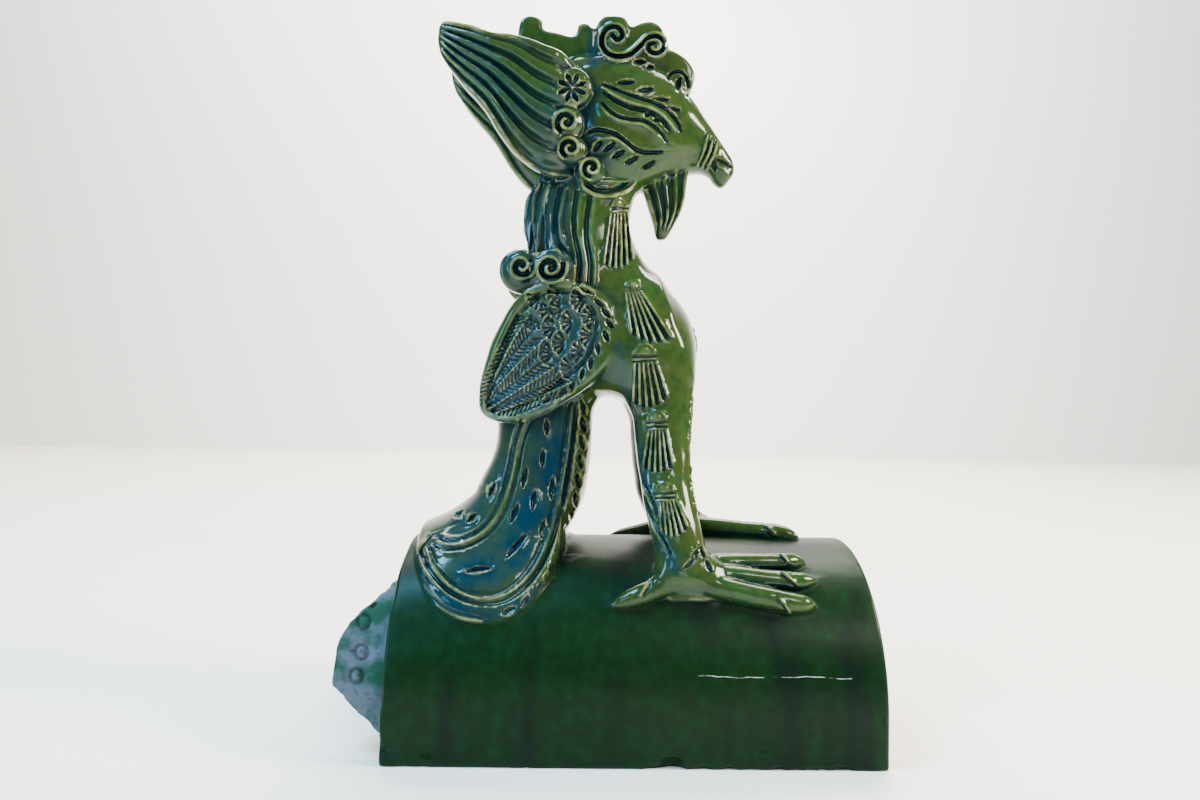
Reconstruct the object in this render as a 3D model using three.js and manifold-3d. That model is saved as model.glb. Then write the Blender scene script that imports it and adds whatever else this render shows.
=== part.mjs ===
// Glazed ridge tile with a standing phoenix, modelled and fired in one piece.
// Millimetres, +Z up. X runs along the roof ridge, the bird faces +X and its near side is -Y.
// The origin is the middle of the underside, on the level of the tile's two long edges.

import * as THREE from "three";
import { mergeVertices } from "three/addons/utils/BufferGeometryUtils.js";
import Module from "manifold-3d";

const wasm = await Module();
wasm.setup();

// Driving dimensions of the tile
const TILE_LENGTH = 280;
const TILE_RADIUS = 85;
const SKIRT_HEIGHT = 28.5;
const WALL = 13;
const SPIGOT_LENGTH = 31;
const SPIGOT_PLAY = 1.5;
const SHOULDER = 18;

// Driving dimensions of the bird
const BIRD_HEIGHT = 347;
const BIRD_HALF_WIDTH = 42;
const EAR_SPREAD = 27;
const NEAR_FOOT_ANGLE = 38;
const FAR_FOOT_ANGLE = 15;
const TOE_RADIUS = 6.5;
const TAIL_EDGE = 7;

// The outlines below are drawn for a bird this high above the crest of the tile
const DRAWN_HEIGHT = 347;
const DRAWN_HALF_WIDTH = 42;

const scale = BIRD_HEIGHT / DRAWN_HEIGHT;
const breadth = BIRD_HALF_WIDTH / DRAWN_HALF_WIDTH;
const tileMiddle = SPIGOT_LENGTH / 2;
const crest = SKIRT_HEIGHT + TILE_RADIUS;
const spigotRadius = TILE_RADIUS - WALL - SPIGOT_PLAY;
const innerRadius = TILE_RADIUS - WALL;
const spigotBore = spigotRadius - WALL;

const GLAZE = new THREE.MeshStandardMaterial({ color: 0x2c5a2a, roughness: 0.18, metalness: 0 });

const NEAR = -1;
const FAR = 1;
const SIDES = [NEAR, FAR];

// Placing points

// A point of the bird: x from the tile's middle, y across, z above the crest, as drawn.
function bird(x, y, z) {
  return new THREE.Vector3(tileMiddle + x * scale, y * breadth, crest + z * scale);
}

// A point on the round of the tile: angle in degrees from the crest, positive to the given side.
function onTile(x, angle, rise, side) {
  const turn = THREE.MathUtils.degToRad(angle);
  const reach = TILE_RADIUS + rise;
  return new THREE.Vector3(
    tileMiddle + x * scale,
    side * reach * Math.sin(turn),
    SKIRT_HEIGHT + reach * Math.cos(turn),
  );
}

// Solids from points

function solidOf(points, faces) {
  const vertProperties = new Float32Array(points.flatMap((p) => [p.x, p.y, p.z]));
  const build = (list) =>
    new wasm.Manifold(new wasm.Mesh({ numProp: 3, vertProperties, triVerts: new Uint32Array(list) }));
  const made = build(faces);
  return made.volume() < 0 ? build(faces.slice().reverse()) : made;
}

// A closed skin over rings with equal numbers of points, with a fan over each end.
function skin(rings) {
  const sides = rings[0].length;
  const points = rings.flat();
  const faces = [];
  for (let r = 0; r + 1 < rings.length; r++) {
    for (let i = 0; i < sides; i++) {
      const a = r * sides + i;
      const b = r * sides + ((i + 1) % sides);
      faces.push(a, b, b + sides, a, b + sides, a + sides);
    }
  }
  const last = (rings.length - 1) * sides;
  const middleOf = (ring) => ring.reduce((sum, p) => sum.clone().add(p)).divideScalar(sides);
  points.push(middleOf(rings[0]), middleOf(rings.at(-1)));
  for (let i = 0; i < sides; i++) {
    const next = (i + 1) % sides;
    faces.push(points.length - 2, next, i, points.length - 1, last + i, last + next);
  }
  return solidOf(points, faces);
}

function extruded(shape, depth, curveSegments) {
  const geometry = new THREE.ExtrudeGeometry(shape, { depth, bevelEnabled: false, curveSegments });
  geometry.deleteAttribute("normal");
  geometry.deleteAttribute("uv");
  return mergeVertices(geometry, 1e-3);
}

function solidFromGeometry(geometry) {
  const position = geometry.getAttribute("position");
  const points = [];
  for (let i = 0; i < position.count; i++) {
    points.push(new THREE.Vector3().fromBufferAttribute(position, i));
  }
  return solidOf(points, Array.from(geometry.index.array));
}

function joined(solids) {
  return solids.reduce((sum, s) => sum.add(s));
}

function without(solid, cutters) {
  return cutters.reduce((rest, c) => rest.subtract(c), solid);
}

// Limbs: round forms that are lofted along stations

// A station is [x1, z1, x2, z2, y, half]: the two points where its section meets the side view,
// how far its middle lies to the side, and its half width. power squares the section.
class Limb {
  constructor(stations, power = 2.2) {
    const edge = (a, b, c) => new THREE.CatmullRomCurve3(
      stations.map((s) => new THREE.Vector3(s[a], s[b], s[c])), false, "catmullrom", 0.5);
    this.first = edge(0, 4, 1);
    this.second = edge(2, 5, 3);
    this.power = power;
  }

  // The drawn point at t along the limb and at angle theta, which is 0 at the first edge
  drawn(t, theta, lift = 0) {
    const place = THREE.MathUtils.clamp(t, 0, 1);
    const a = this.first.getPoint(place);
    const b = this.second.getPoint(place);
    const reach = Math.hypot(a.x - b.x, a.z - b.z) / 2;
    const bulge = (v) => Math.sign(v) * Math.abs(v) ** (2 / this.power);
    const along = bulge(Math.cos(theta)) * (1 + lift / reach);
    const across = bulge(Math.sin(theta)) * (b.y + lift);
    return [
      (a.x + b.x) / 2 + (along * (a.x - b.x)) / 2,
      a.y + across,
      (a.z + b.z) / 2 + (along * (a.z - b.z)) / 2,
    ];
  }

  point(t, theta, lift) {
    return bird(...this.drawn(t, theta, lift));
  }

  // How far along a limb with level sections a height is
  atHeight(z) {
    let low = 0;
    let high = 1;
    const falls = this.first.getPoint(0).z > this.first.getPoint(1).z;
    for (let i = 0; i < 30; i++) {
      const t = (low + high) / 2;
      if (this.first.getPoint(t).z > z === falls) low = t;
      else high = t;
    }
    return low;
  }

  // angles are the places round the section in rising order; carve lifts the skin at (t, theta)
  solid(steps, angles, carve = () => 0) {
    const rings = [];
    for (let s = 0; s <= steps; s++) {
      const t = s / steps;
      rings.push(angles.map((theta) => this.point(t, theta, carve(t, theta))));
    }
    return skin(rings);
  }
}

// Even angles from one to another, without the last.
function arc(from, to, count) {
  return Array.from({ length: count }, (_, i) => THREE.MathUtils.degToRad(from + ((to - from) * i) / count));
}

function round(count) {
  return arc(0, 360, count);
}

// Small relief

// A rib with a ridge on top along points, each with the direction it stands up in.
function rib(points, ups, halfWidth, rise) {
  const sink = 2 * rise;
  const last = points.length - 1;
  const rings = points.map((p, i) => {
    const along = points[Math.min(i + 1, last)].clone().sub(points[Math.max(i - 1, 0)]).normalize();
    const across = new THREE.Vector3().crossVectors(ups[i], along).normalize();
    const taper = i === 0 || i === last ? 0.3 : 1;
    const base = p.clone().addScaledVector(ups[i], -sink);
    return [
      base.clone().addScaledVector(across, halfWidth),
      base.clone().addScaledVector(across, -halfWidth),
      p.clone().addScaledVector(ups[i], rise * taper),
    ];
  });
  return skin(rings);
}

// A seed-shaped cutter or bead that lies along a direction, half in and half out of a surface.
function seed(middle, along, up, length, width, depth) {
  const way = along.clone().normalize();
  const side = new THREE.Vector3().crossVectors(up, way).normalize();
  const corner = (v, distance) => middle.clone().addScaledVector(v, distance);
  const points = [
    corner(way, length / 2), corner(side, width / 2), corner(way, -length / 2),
    corner(side, -width / 2), corner(up, depth), corner(up, -depth),
  ];
  return solidOf(points, [0, 1, 4, 1, 2, 4, 2, 3, 4, 3, 0, 4, 1, 0, 5, 2, 1, 5, 3, 2, 5, 0, 3, 5]);
}

// A rib wound into a spiral on a face that looks to one side, opening from its middle.
// start and turns are in whole turns, anticlockwise in the view from the near side.
function spiral(x, y, z, radius, start, turns, side) {
  const SPIRAL_STEPS = 6;
  const points = [];
  const up = new THREE.Vector3(0, side, 0);
  for (let i = 0; i <= SPIRAL_STEPS; i++) {
    const share = i / SPIRAL_STEPS;
    const turn = 2 * Math.PI * (start + turns * share);
    const reach = radius * (0.18 + 0.7 * share);
    points.push(bird(x + reach * Math.cos(turn), y, z + reach * Math.sin(turn)));
  }
  return rib(points, points.map(() => up), radius * 0.15 * scale, radius * 0.17 * scale);
}

// A round boss that stands out to one side.
function boss(x, y, z, radius, depth, side) {
  const BOSS_SIDES = 9;
  const ring = (reach, out) => Array.from({ length: BOSS_SIDES }, (_, i) => {
    const turn = (2 * Math.PI * i) / BOSS_SIDES;
    return bird(x + reach * Math.cos(turn), y - side * depth + side * out, z + reach * Math.sin(turn));
  });
  return skin([ring(radius, 0), ring(radius, depth)]);
}

// The tile

// Cutters run this far past what they cut
const PAST = 5;

// The outline of the arch in the YZ plane: a half round on two upright skirts that end at foot.
function archShape(radius, foot) {
  const shape = new THREE.Shape();
  shape.moveTo(-radius, foot);
  shape.lineTo(radius, foot);
  shape.lineTo(radius, SKIRT_HEIGHT);
  shape.absarc(0, SKIRT_HEIGHT, radius, 0, Math.PI, false);
  shape.closePath();
  return shape;
}

// An arch-shaped bar from x1 to x2
function archBar(radius, x1, x2, foot = 0) {
  const ARCH_SEGMENTS = 18;
  const geometry = extruded(archShape(radius, foot), x2 - x1, ARCH_SEGMENTS);
  geometry.rotateX(Math.PI / 2);
  geometry.rotateZ(Math.PI / 2);
  geometry.translate(x1, 0, 0);
  return solidFromGeometry(geometry);
}

// A slab across the object, from a side view outline.
function sideSlab(outline, halfDepth) {
  const shape = new THREE.Shape(outline.map(([x, z]) => new THREE.Vector2(x, z)));
  const geometry = extruded(shape, 2 * halfDepth, 1);
  geometry.rotateX(Math.PI / 2);
  geometry.translate(0, halfDepth, 0);
  return solidFromGeometry(geometry);
}

function makeTile() {
  const left = tileMiddle - TILE_LENGTH / 2;
  const right = tileMiddle + TILE_LENGTH / 2;
  const tip = left - SPIGOT_LENGTH;
  const body = archBar(TILE_RADIUS, left, right);
  const bodyHollow = archBar(innerRadius, left + SHOULDER, right + PAST, -PAST);
  const spigot = archBar(spigotRadius, tip, left + SHOULDER / 2);
  const spigotHollow = archBar(spigotBore, tip - PAST, left + SHOULDER + PAST, -PAST);

  // The spigot has lost its lower corners and the end of its crown.
  const spigotTop = SKIRT_HEIGHT + spigotRadius;
  const BROKEN_FOOT = 12;
  const FOOT_BREAK_TOP = 38;
  const CROWN_BREAK = 58;
  const lowerBreak = sideSlab([
    [tip - PAST, -PAST], [left - 0.01, -PAST], [left - 0.01, BROKEN_FOOT], [left - 4, BROKEN_FOOT],
    [tip, FOOT_BREAK_TOP], [tip - PAST, FOOT_BREAK_TOP],
  ], TILE_RADIUS + PAST);
  const crownBreak = sideSlab([
    [tip - PAST, CROWN_BREAK], [tip, CROWN_BREAK], [tip + 6, CROWN_BREAK + 20],
    [left - 9, spigotTop - 10], [left - 6, spigotTop + PAST], [tip - PAST, spigotTop + PAST],
  ], TILE_RADIUS + PAST);

  const ring = without(spigot, [lowerBreak, crownBreak]);
  return without(body.add(ring), [bodyHollow, spigotHollow]);
}

// The bird's main forms, drawn with level sections where x1 is the front edge

const NECK = new Limb([
  [6, 240, -60, 240, 0, 24],
  [-1, 222, -70, 222, 0, 27],
  [-4, 207, -72, 207, 0, 28],
  [0, 192, -70.5, 192, 0, 28.5],
  [9, 177, -67, 177, 0, 30],
  [23, 162, -62, 162, 0, 34],
  [36, 145, -56, 145, 0, 39],
  [41, 127, -48, 127, 0, 42],
  [39.5, 109, -42, 109, 0, 42],
  [36, 96, -34, 96, 0, 37],
  [28, 87, 0, 87, 0, 26],
  [20, 82, 6, 82, 0, 10],
]);

const RUMP = new Limb([
  [12, 168, 30, 96, 0, 34],
  [-40, 162, -6, 96, 0, 40],
  [-73, 153, -30, 93, 0, 41],
  [-86, 130, -55, 80, 0, 38],
  [-95, 106, -74, 74, 0, 31],
  [-96.5, 93, -86, 76, 0, 20],
]);

const MANE_TOP = 230;
const MANE_FOOT = 176;
const STRANDS = 12;
const STRAND_DEPTH = 2.4;
const NECK_ANGLES = [...arc(0, 90, 6), ...arc(90, 270, 24), ...arc(270, 360, 6)];

// The rear half of the neck is combed into strands that run down to the curls.
function maneCarving(t, theta) {
  const z = NECK.first.getPoint(t).z;
  const rear = Math.cos(theta) < 0.1;
  const inside = z < MANE_TOP + 8 && z > MANE_FOOT;
  return rear && inside ? STRAND_DEPTH * Math.cos(STRANDS * theta) : 0;
}

// Head, with the beak hooked down at its tip; the first edge is the crown

const HEAD = new Limb([
  [-60, 306, -60, 240, 0, 18],
  [-42, 318, -38, 226, 0, 29],
  [-14, 319, -16, 223, 0, 33],
  [10, 312, 5, 230, 0, 30],
  [30, 299, 20, 237, 0, 25],
  [43, 283, 32, 241, 0, 19],
  [52, 270, 42, 242.5, 0, 14],
  [59, 260, 49, 240, 0, 10.5],
  [65, 251, 52, 236, 0, 8],
  [66, 243, 55, 233.5, 0, 6],
  [62, 236, 57.5, 232, 0, 3],
], 2.3);

// The point on the side of the head that shows at a drawn x and z.
function headPoint(x, z, lift, side) {
  let best = [0, 0];
  let miss = Infinity;
  const TRIES = 60;
  for (let i = 0; i <= TRIES; i++) {
    for (let k = 1; k < TRIES / 2; k++) {
      const theta = (Math.PI * k) / (TRIES / 2);
      const [px, , pz] = HEAD.drawn(i / TRIES, theta);
      const off = Math.hypot(px - x, pz - z);
      if (off < miss) {
        miss = off;
        best = [i / TRIES, theta];
      }
    }
  }
  return HEAD.point(best[0], side * best[1], lift);
}

// Swept-back ears, fluted from root to tip

const EAR_STATIONS = [
  [-30, 300, -36, 226, 1, 10],
  [-49.5, 309, -57.5, 229, 1.1, 9.5],
  [-63.5, 313.5, -73, 237, 1.16, 9],
  [-79, 318, -86, 250.5, 1.18, 8.5],
  [-94, 319, -99, 270.5, 1.16, 8],
  [-110.5, 324.5, -113.5, 287, 1.1, 7],
  [-123.5, 328, -125.5, 303.5, 1.04, 5],
  [-129.5, 327, -130.5, 315.5, 1, 2.5],
];

// The brow over the eye, and the fold of the cheek
const FACE_LINES = [
  [[-24, 292], [-8, 283], [8, 276], [22, 264], [30, 252]],
  [[-34, 259], [-18, 258], [-6, 251], [8, 243], [22, 242]],
];

function makeFaceLines(side) {
  return joined(FACE_LINES.map((line) => {
    const points = line.map(([x, z]) => headPoint(x, z, 0, side));
    const ups = line.map(([x, z], i) => headPoint(x, z, 10, side).sub(points[i]).normalize());
    return rib(points, ups, 1.8 * scale, 1.4 * scale);
  }));
}

const EAR_FLUTES = 4;
const FLUTE_DEPTH = 1.7;

function makeEar(side) {
  const stations = EAR_STATIONS.map((s) => [s[0], s[1], s[2], s[3], side * s[4] * EAR_SPREAD, s[5]]);
  const ear = new Limb(stations, 2.8);
  const fluted = (t, theta) => {
    const outward = side * Math.sin(theta) > 0.05;
    return outward && t < 0.95 ? FLUTE_DEPTH * Math.cos(2 * EAR_FLUTES * theta) : 0;
  };
  const outer = side === NEAR ? arc(180, 360, 16) : arc(0, 180, 16);
  const inner = side === NEAR ? arc(0, 180, 4) : arc(180, 360, 4);
  return ear.solid(7, side === NEAR ? [...inner, ...outer] : [...outer, ...inner], fluted);
}

// Legs with level sections; each foot is set at its own angle round the tile

function footMiddle(angle, side) {
  return (onTile(0, angle, 0, side).y) / breadth;
}

function makeLeg(side, angle, lean) {
  const foot = Math.abs(footMiddle(angle, side));
  const ground = (onTile(0, angle, 0, side).z - crest) / scale;
  const hip = 19;
  const across = (share) => side * (hip + (foot - hip) * share);
  const leg = new Limb([
    [40.5, 122, -14, 122, across(0), 22],
    [37.5, 93, -8, 93, across(0.08), 19.5],
    [35.5, 77, -1, 77, across(0.2), 17],
    [34.5, 60, 0.5, 60, across(0.38), 15],
    [34.5 + lean * 0.3, 44, 2.5, 44, across(0.56), 13.5],
    [36 + lean * 0.6, 28, 5, 28, across(0.74), 13],
    [39 + lean, 14, 8 + lean * 0.3, 14, across(0.9), 13],
    [44 + lean, ground + 10, 13 + lean * 0.6, ground + 10, across(1), 14],
    [46 + lean, ground - 6, 16 + lean, ground - 6, across(1), 14],
  ]);
  return leg;
}

// Toes lie on the round of the tile, three to the front and one behind

const CLAW_RING = 1.22;

function makeToe(path, side) {
  const TOE_STEPS = 5;
  const TOE_SIDES = 6;
  const points = path.map(([x, angle, rise]) => onTile(x, angle, rise, side));
  const curve = new THREE.CatmullRomCurve3(points);
  const girth = [1.05, 1, 0.92, CLAW_RING * 0.9, 0.7, 0.2];
  const rings = [];
  for (let s = 0; s <= TOE_STEPS; s++) {
    const middle = curve.getPoint(s / TOE_STEPS);
    const along = curve.getTangent(s / TOE_STEPS);
    const out = new THREE.Vector3(0, middle.y, middle.z - SKIRT_HEIGHT).normalize();
    const across = new THREE.Vector3().crossVectors(along, out).normalize();
    const radius = TOE_RADIUS * girth[s];
    rings.push(Array.from({ length: TOE_SIDES }, (_, i) => {
      const turn = (2 * Math.PI * (i + 0.5)) / TOE_SIDES;
      return middle.clone()
        .addScaledVector(across, radius * Math.cos(turn))
        .addScaledVector(out, radius * Math.sin(turn));
    }));
  }
  return skin(rings);
}

// spread turns the front toes apart, in degrees round the tile for each toe
function makeFoot(side, angle, spread, forward) {
  const toes = [-1, 0, 1].map((k) => makeToe([
    [30 + forward, angle + k * 2, 6],
    [50 + forward, angle + k * spread * 0.6, 5],
    [88, angle + k * spread + spread * 0.1, 3],
    [108 - Math.abs(k) * 4, angle + k * spread * 1.15, 1],
  ], side));
  const hind = makeToe([
    [32 + forward, angle + 2, 8],
    [19, angle + 4, 5],
    [4, angle + 8, 3],
    [-14, angle + 12, 1],
  ], side);
  return joined([...toes, hind]);
}

// The tail falls behind the bird and spreads over the tile like a saddle cloth

const TAIL_ROOT = new Limb([
  [-8, 108, -76, 108, 0, 30],
  [-19, 93, -84, 93, 0, 30],
  [-25, 82, -86.5, 82, 0, 30],
  [-26.5, 64, -88, 64, 0, 30.5],
  [-27, 48, -92, 48, 0, 32],
  [-29, 34, -98.5, 34, 0, 34],
], 2.5);

const LOBE_MIDDLE = -88;
const LOBE_HALF_LENGTH = 47.5;
const LOBE_HALF_WIDTH = 0.85 * TILE_RADIUS;
const LOBE_POWER = 2.6;

// The skin of the tail: k runs from 0 at the edge on the tile to 1 where the root begins.
function tailPoint(k, theta, lift = 0) {
  const bulge = (v) => Math.sign(v) * Math.abs(v) ** (2 / LOBE_POWER);
  const edgeX = LOBE_MIDDLE + LOBE_HALF_LENGTH * bulge(Math.cos(theta));
  const edgeY = LOBE_HALF_WIDTH * bulge(Math.sin(theta));
  const edgeZ = SKIRT_HEIGHT + Math.sqrt(TILE_RADIUS ** 2 - edgeY ** 2);
  const edge = new THREE.Vector3(bird(edgeX, 0, 0).x, edgeY, edgeZ + TAIL_EDGE * Math.min(1, 0.6 + 4 * k));
  const top = TAIL_ROOT.point(1, theta, 0);
  const climb = 0.5 * k + 0.5 * (1 - Math.sqrt(1 - k * k));
  const out = new THREE.Vector3(edge.x - top.x, edge.y, TILE_RADIUS * 0.6).normalize();
  return new THREE.Vector3(
    edge.x + (top.x - edge.x) * k,
    edge.y + (top.y - edge.y) * k,
    edge.z + (top.z - edge.z) * climb,
  ).addScaledVector(out, lift);
}

function makeTail() {
  const TAIL_SIDES = 24;
  const BAND_GROOVE = -2.2;
  const BAND_RIDGE = 1.2;
  const ringOf = (place) => Array.from(
    { length: TAIL_SIDES }, (_, i) => place((2 * Math.PI * i) / TAIL_SIDES));
  const sunk = ringOf((theta) => tailPoint(0, theta).add(new THREE.Vector3(0, 0, -3 * TAIL_EDGE)));
  const skirtRings = [
    [0, 0], [0.06, 0.6], [0.22, BAND_RIDGE], [0.28, BAND_GROOVE],
    [0.36, 0.4], [0.6, 0.8], [0.85, 0.3],
  ].map(([k, lift]) => ringOf((theta) => tailPoint(k, theta, lift)));
  const rootRings = [1, 0.66, 0.33, 0].map(
    (t) => ringOf((theta) => TAIL_ROOT.point(t, theta, 0)));
  return skin([sunk, ...skirtRings, ...rootRings]);
}

// Wings: teardrop plates on both flanks, with a rim, a groove inside it and three long feathers

const WING_OUTLINE = [
  [-52, 162], [-34, 159], [-22, 155], [-13, 143], [-10, 129], [-15, 112], [-26, 99], [-41, 87],
  [-56, 78], [-73, 73], [-87, 74], [-97, 83], [-95, 107], [-88, 127], [-80, 142], [-68, 156],
];
const WING_HEART = [-50, 124];
const WING_REACH = 49;
const wingCurve = new THREE.CatmullRomCurve3(
  WING_OUTLINE.map(([x, z]) => new THREE.Vector3(x, 0, z)), true);

// How far out the wing's face lies at a drawn x: it wraps round the flank towards its tip.
function wingFace(x) {
  return WING_REACH - 11 * ((x - WING_HEART[0]) / 45) ** 2;
}

function wingPoint(share, inset, lift, side) {
  const edge = wingCurve.getPointAt(share % 1);
  const x = WING_HEART[0] + (edge.x - WING_HEART[0]) * (1 - inset);
  const z = WING_HEART[1] + (edge.z - WING_HEART[1]) * (1 - inset);
  return bird(x, side * (wingFace(x) + lift), z);
}

function makeWing(side) {
  const WING_SIDES = 22;
  const rings = [
    [0, -18], [0, -6], [0.1, 0], [0.25, -0.4], [0.3, -3.2], [0.36, 0],
  ].map(([inset, lift]) => Array.from(
    { length: WING_SIDES }, (_, i) => wingPoint(i / WING_SIDES, inset, lift, side)));
  const up = new THREE.Vector3(0, side, 0);
  const face = (x, z, lift) => bird(x, side * (wingFace(x) + lift), z);
  const shafts = [[[-62, 144], [-79, 99]], [[-50, 132], [-76, 95]], [[-38, 114], [-70, 92]]].map(
    ([root, tip]) => {
      const points = [0, 0.5, 1].map(
        (s) => face(root[0] + (tip[0] - root[0]) * s, root[1] + (tip[1] - root[1]) * s, 0));
      return rib(points, points.map(() => up), 3 * scale, 2.2 * scale);
    });
  return joined([skin(rings), ...shafts]);
}

// Seed-shaped cuts follow the wing's rim from the neck round to the tip
function wingCuts(side) {
  const CUTS = 8;
  const FIRST = 0.1;
  const LAST = 0.6;
  const up = new THREE.Vector3(0, side, 0);
  return Array.from({ length: CUTS }, (_, i) => {
    const share = FIRST + ((LAST - FIRST) * i) / (CUTS - 1);
    const middle = wingPoint(share, 0.19, 0.2, side);
    const along = wingPoint(share + 0.01, 0.22, 0.2, side).sub(wingPoint(share - 0.01, 0.16, 0.2, side));
    return seed(middle, along, up, 11 * scale, 4.2 * scale, 2.2);
  });
}

// Comb: an upright plate along the crown with cloud scrolls in front

const COMB_OUTLINE = [
  [-80, 322], [-81, 333], [-80, 342], [-76, 346], [-70, 346], [-65, 343], [-63, 337], [-54, 335],
  [-45, 333], [-42, 336], [-41, 340], [-37, 342], [-33, 341], [-30, 339], [-27, 343.5], [-22, 347],
  [-10, 346], [-5, 340], [1, 342], [8, 343], [15, 340], [19, 333], [19, 326], [26, 323], [33, 318],
  [38, 310], [38, 303], [34, 297], [10, 295], [-40, 300], [-62, 306],
];
const COMB_HALF_DEPTH = 9;
const SCROLLS = [[-13, 334, 12.5, 0.05, -1.5], [11, 329, 8.5, 0.45, -1.4], [28, 311, 8, 0.4, 1.3]];

function makeComb() {
  const outline = COMB_OUTLINE.map(([x, z]) => new THREE.Vector2(x * scale, z * scale));
  const plate = extruded(new THREE.Shape(outline), 2 * COMB_HALF_DEPTH * breadth, 1);
  plate.rotateX(Math.PI / 2);
  plate.translate(tileMiddle, COMB_HALF_DEPTH * breadth, crest);
  const scrolls = SIDES.flatMap((side) => SCROLLS.map(
    ([x, z, radius, start, turns]) => spiral(x, side * COMB_HALF_DEPTH, z, radius, start, turns, side)));
  return joined([solidFromGeometry(plate), ...scrolls]);
}

// Curls in front of the ears and at the foot of the mane, and the rosette above them

const SIDE_CURLS = [[-46, 263, 10, 0.1, 1.4, 39], [-43, 246, 9, 0.1, 1.4, 37], [-31, 234, 9, 0.3, -1.3, 33]];
const MANE_CURLS = [[-74, 170, 13, 0.1, 1.5, 30], [-53, 169, 12, 0.9, 1.5, 40]];
const ROSETTE = { x: -43, z: 285, radius: 12.5, reach: 40, petals: 8 };

function makeCurls(side) {
  return joined([...SIDE_CURLS, ...MANE_CURLS].map(([x, z, radius, start, turns, reach]) => joined([
    boss(x, side * reach, z, radius, 12, side),
    spiral(x, side * reach, z, radius, start, turns, side),
  ])));
}

function makeRosette(side) {
  const { x, z, radius, reach, petals } = ROSETTE;
  const up = new THREE.Vector3(0, side, 0);
  const cuts = Array.from({ length: petals }, (_, i) => {
    const turn = (2 * Math.PI * i) / petals;
    const out = new THREE.Vector3(Math.cos(turn), 0, Math.sin(turn));
    const middle = bird(x + radius * 0.45 * out.x, side * reach, z + radius * 0.45 * out.z);
    return seed(middle, out, up, radius * 0.62 * scale, radius * 0.2 * scale, 2);
  });
  return without(boss(x, side * reach, z, radius, 16, side), cuts);
}

// Fans: shell shapes pressed down the front of the neck, breast and legs

const FAN_RIBS = 4;
const FAN_RELIEF = 1.7;
const FAN_SINK = 4;

// A fan on a limb, from zTop down to zFoot, about the angle theta, with half its spread at the foot.
// It is one plate, pleated into ribs, with its back sunk in the limb, of two rows where that is straight.
function makeFan(limb, zTop, zFoot, theta, spread, rows = 3) {
  const tTop = limb.atHeight(zTop);
  const tFoot = limb.atHeight(zFoot);
  const folds = 2 * FAN_RIBS - 1;
  const row = (down, lift) => Array.from({ length: folds }, (_, i) => {
    const share = (2 * i) / (folds - 1) - 1;
    const pleat = i % 2 === 0 ? FAN_RELIEF : 0.3;
    const t = tTop + (tFoot - tTop) * (down - 0.1 * share * share * down);
    return limb.point(t, theta + share * spread * (0.4 + 0.6 * down), lift === undefined ? pleat : lift);
  });
  const downs = Array.from({ length: rows }, (_, i) => i / (rows - 1));
  return skin(downs.map((down) => [...row(down), ...row(down, -FAN_SINK).reverse()]));
}

function makeFans(side, leg) {
  const degrees = THREE.MathUtils.degToRad;
  return joined([
    makeFan(NECK, 204, 168, side * degrees(44), degrees(13)),
    makeFan(NECK, 158, 124, side * degrees(62), degrees(15)),
    makeFan(leg, 114, 80, side * degrees(100), degrees(32), 2),
    makeFan(leg, 98, 60, side * degrees(20), degrees(16), 2),
    makeFan(leg, 72, 42, side * degrees(100), degrees(30), 2),
    makeFan(leg, 34, 8, side * degrees(94), degrees(28), 2),
  ]);
}

// Beard: a leaf under the chin, fluted

function makeBeard() {
  const beard = new Limb([
    [36, 246, 2, 240, 0, 9],
    [35, 232, 7, 226, 0, 9],
    [31, 218, 10, 212, 0, 8],
    [26, 206, 13, 203, 0, 6.5],
    [21, 197, 15, 196, 0, 3.5],
  ], 2.6);
  return beard.solid(4, round(12), (t, theta) => 0.9 * Math.cos(8 * theta) * (1 - t));
}

// Leaf-shaped cuts along the tail's border, and scattered drops on its face

function tailCuts(side) {
  const up = (k, theta) => tailPoint(k, theta, 5).sub(tailPoint(k, theta, 0)).normalize();
  const cut = (k, theta, dk, dTheta, length, width) => seed(
    tailPoint(k, theta, 0.3), tailPoint(k + dk, theta + dTheta).sub(tailPoint(k - dk, theta - dTheta)),
    up(k, theta), length * scale, width * scale, 2);
  const BORDER_CUTS = 6;
  const border = Array.from({ length: BORDER_CUTS }, (_, i) => {
    const theta = side * THREE.MathUtils.degToRad(55 + (105 * i) / (BORDER_CUTS - 1));
    return cut(0.13, theta, 0, 0.02, 11, 4);
  });
  const drops = [[0.5, 66], [0.7, 96]].map(
    ([k, degrees]) => cut(k, side * THREE.MathUtils.degToRad(degrees), 0.02, 0, 13, 4));
  return [...border, ...drops];
}

// Putting it together

const nearLeg = makeLeg(NEAR, NEAR_FOOT_ANGLE, 0);
const farLeg = makeLeg(FAR, FAR_FOOT_ANGLE, 8);

const tail = without(makeTail(), SIDES.flatMap(tailCuts));
const wings = SIDES.map((side) => without(makeWing(side), wingCuts(side)));

const figure = joined([
  NECK.solid(8, NECK_ANGLES, maneCarving),
  RUMP.solid(4, round(14)),
  tail,
  nearLeg.solid(7, round(10)),
  farLeg.solid(7, round(10)),
  makeFoot(NEAR, NEAR_FOOT_ANGLE, 9.5, 0),
  makeFoot(FAR, FAR_FOOT_ANGLE, 12, 6),
  ...wings,
  HEAD.solid(10, round(16)),
  ...SIDES.map(makeFaceLines),
  ...SIDES.map(makeEar),
  makeComb(),
  ...SIDES.map(makeCurls),
  ...SIDES.map(makeRosette),
  makeFan(NECK, 140, 106, 0, THREE.MathUtils.degToRad(9)),
  makeFans(NEAR, nearLeg),
  makeFans(FAR, farLeg),
  makeBeard(),
]);

// Nothing of the bird reaches into the hollow of the tile
const tileHollow = archBar(innerRadius, tileMiddle - TILE_LENGTH / 2, tileMiddle + TILE_LENGTH / 2, -PAST);
const whole = makeTile().add(figure.subtract(tileHollow));

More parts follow.
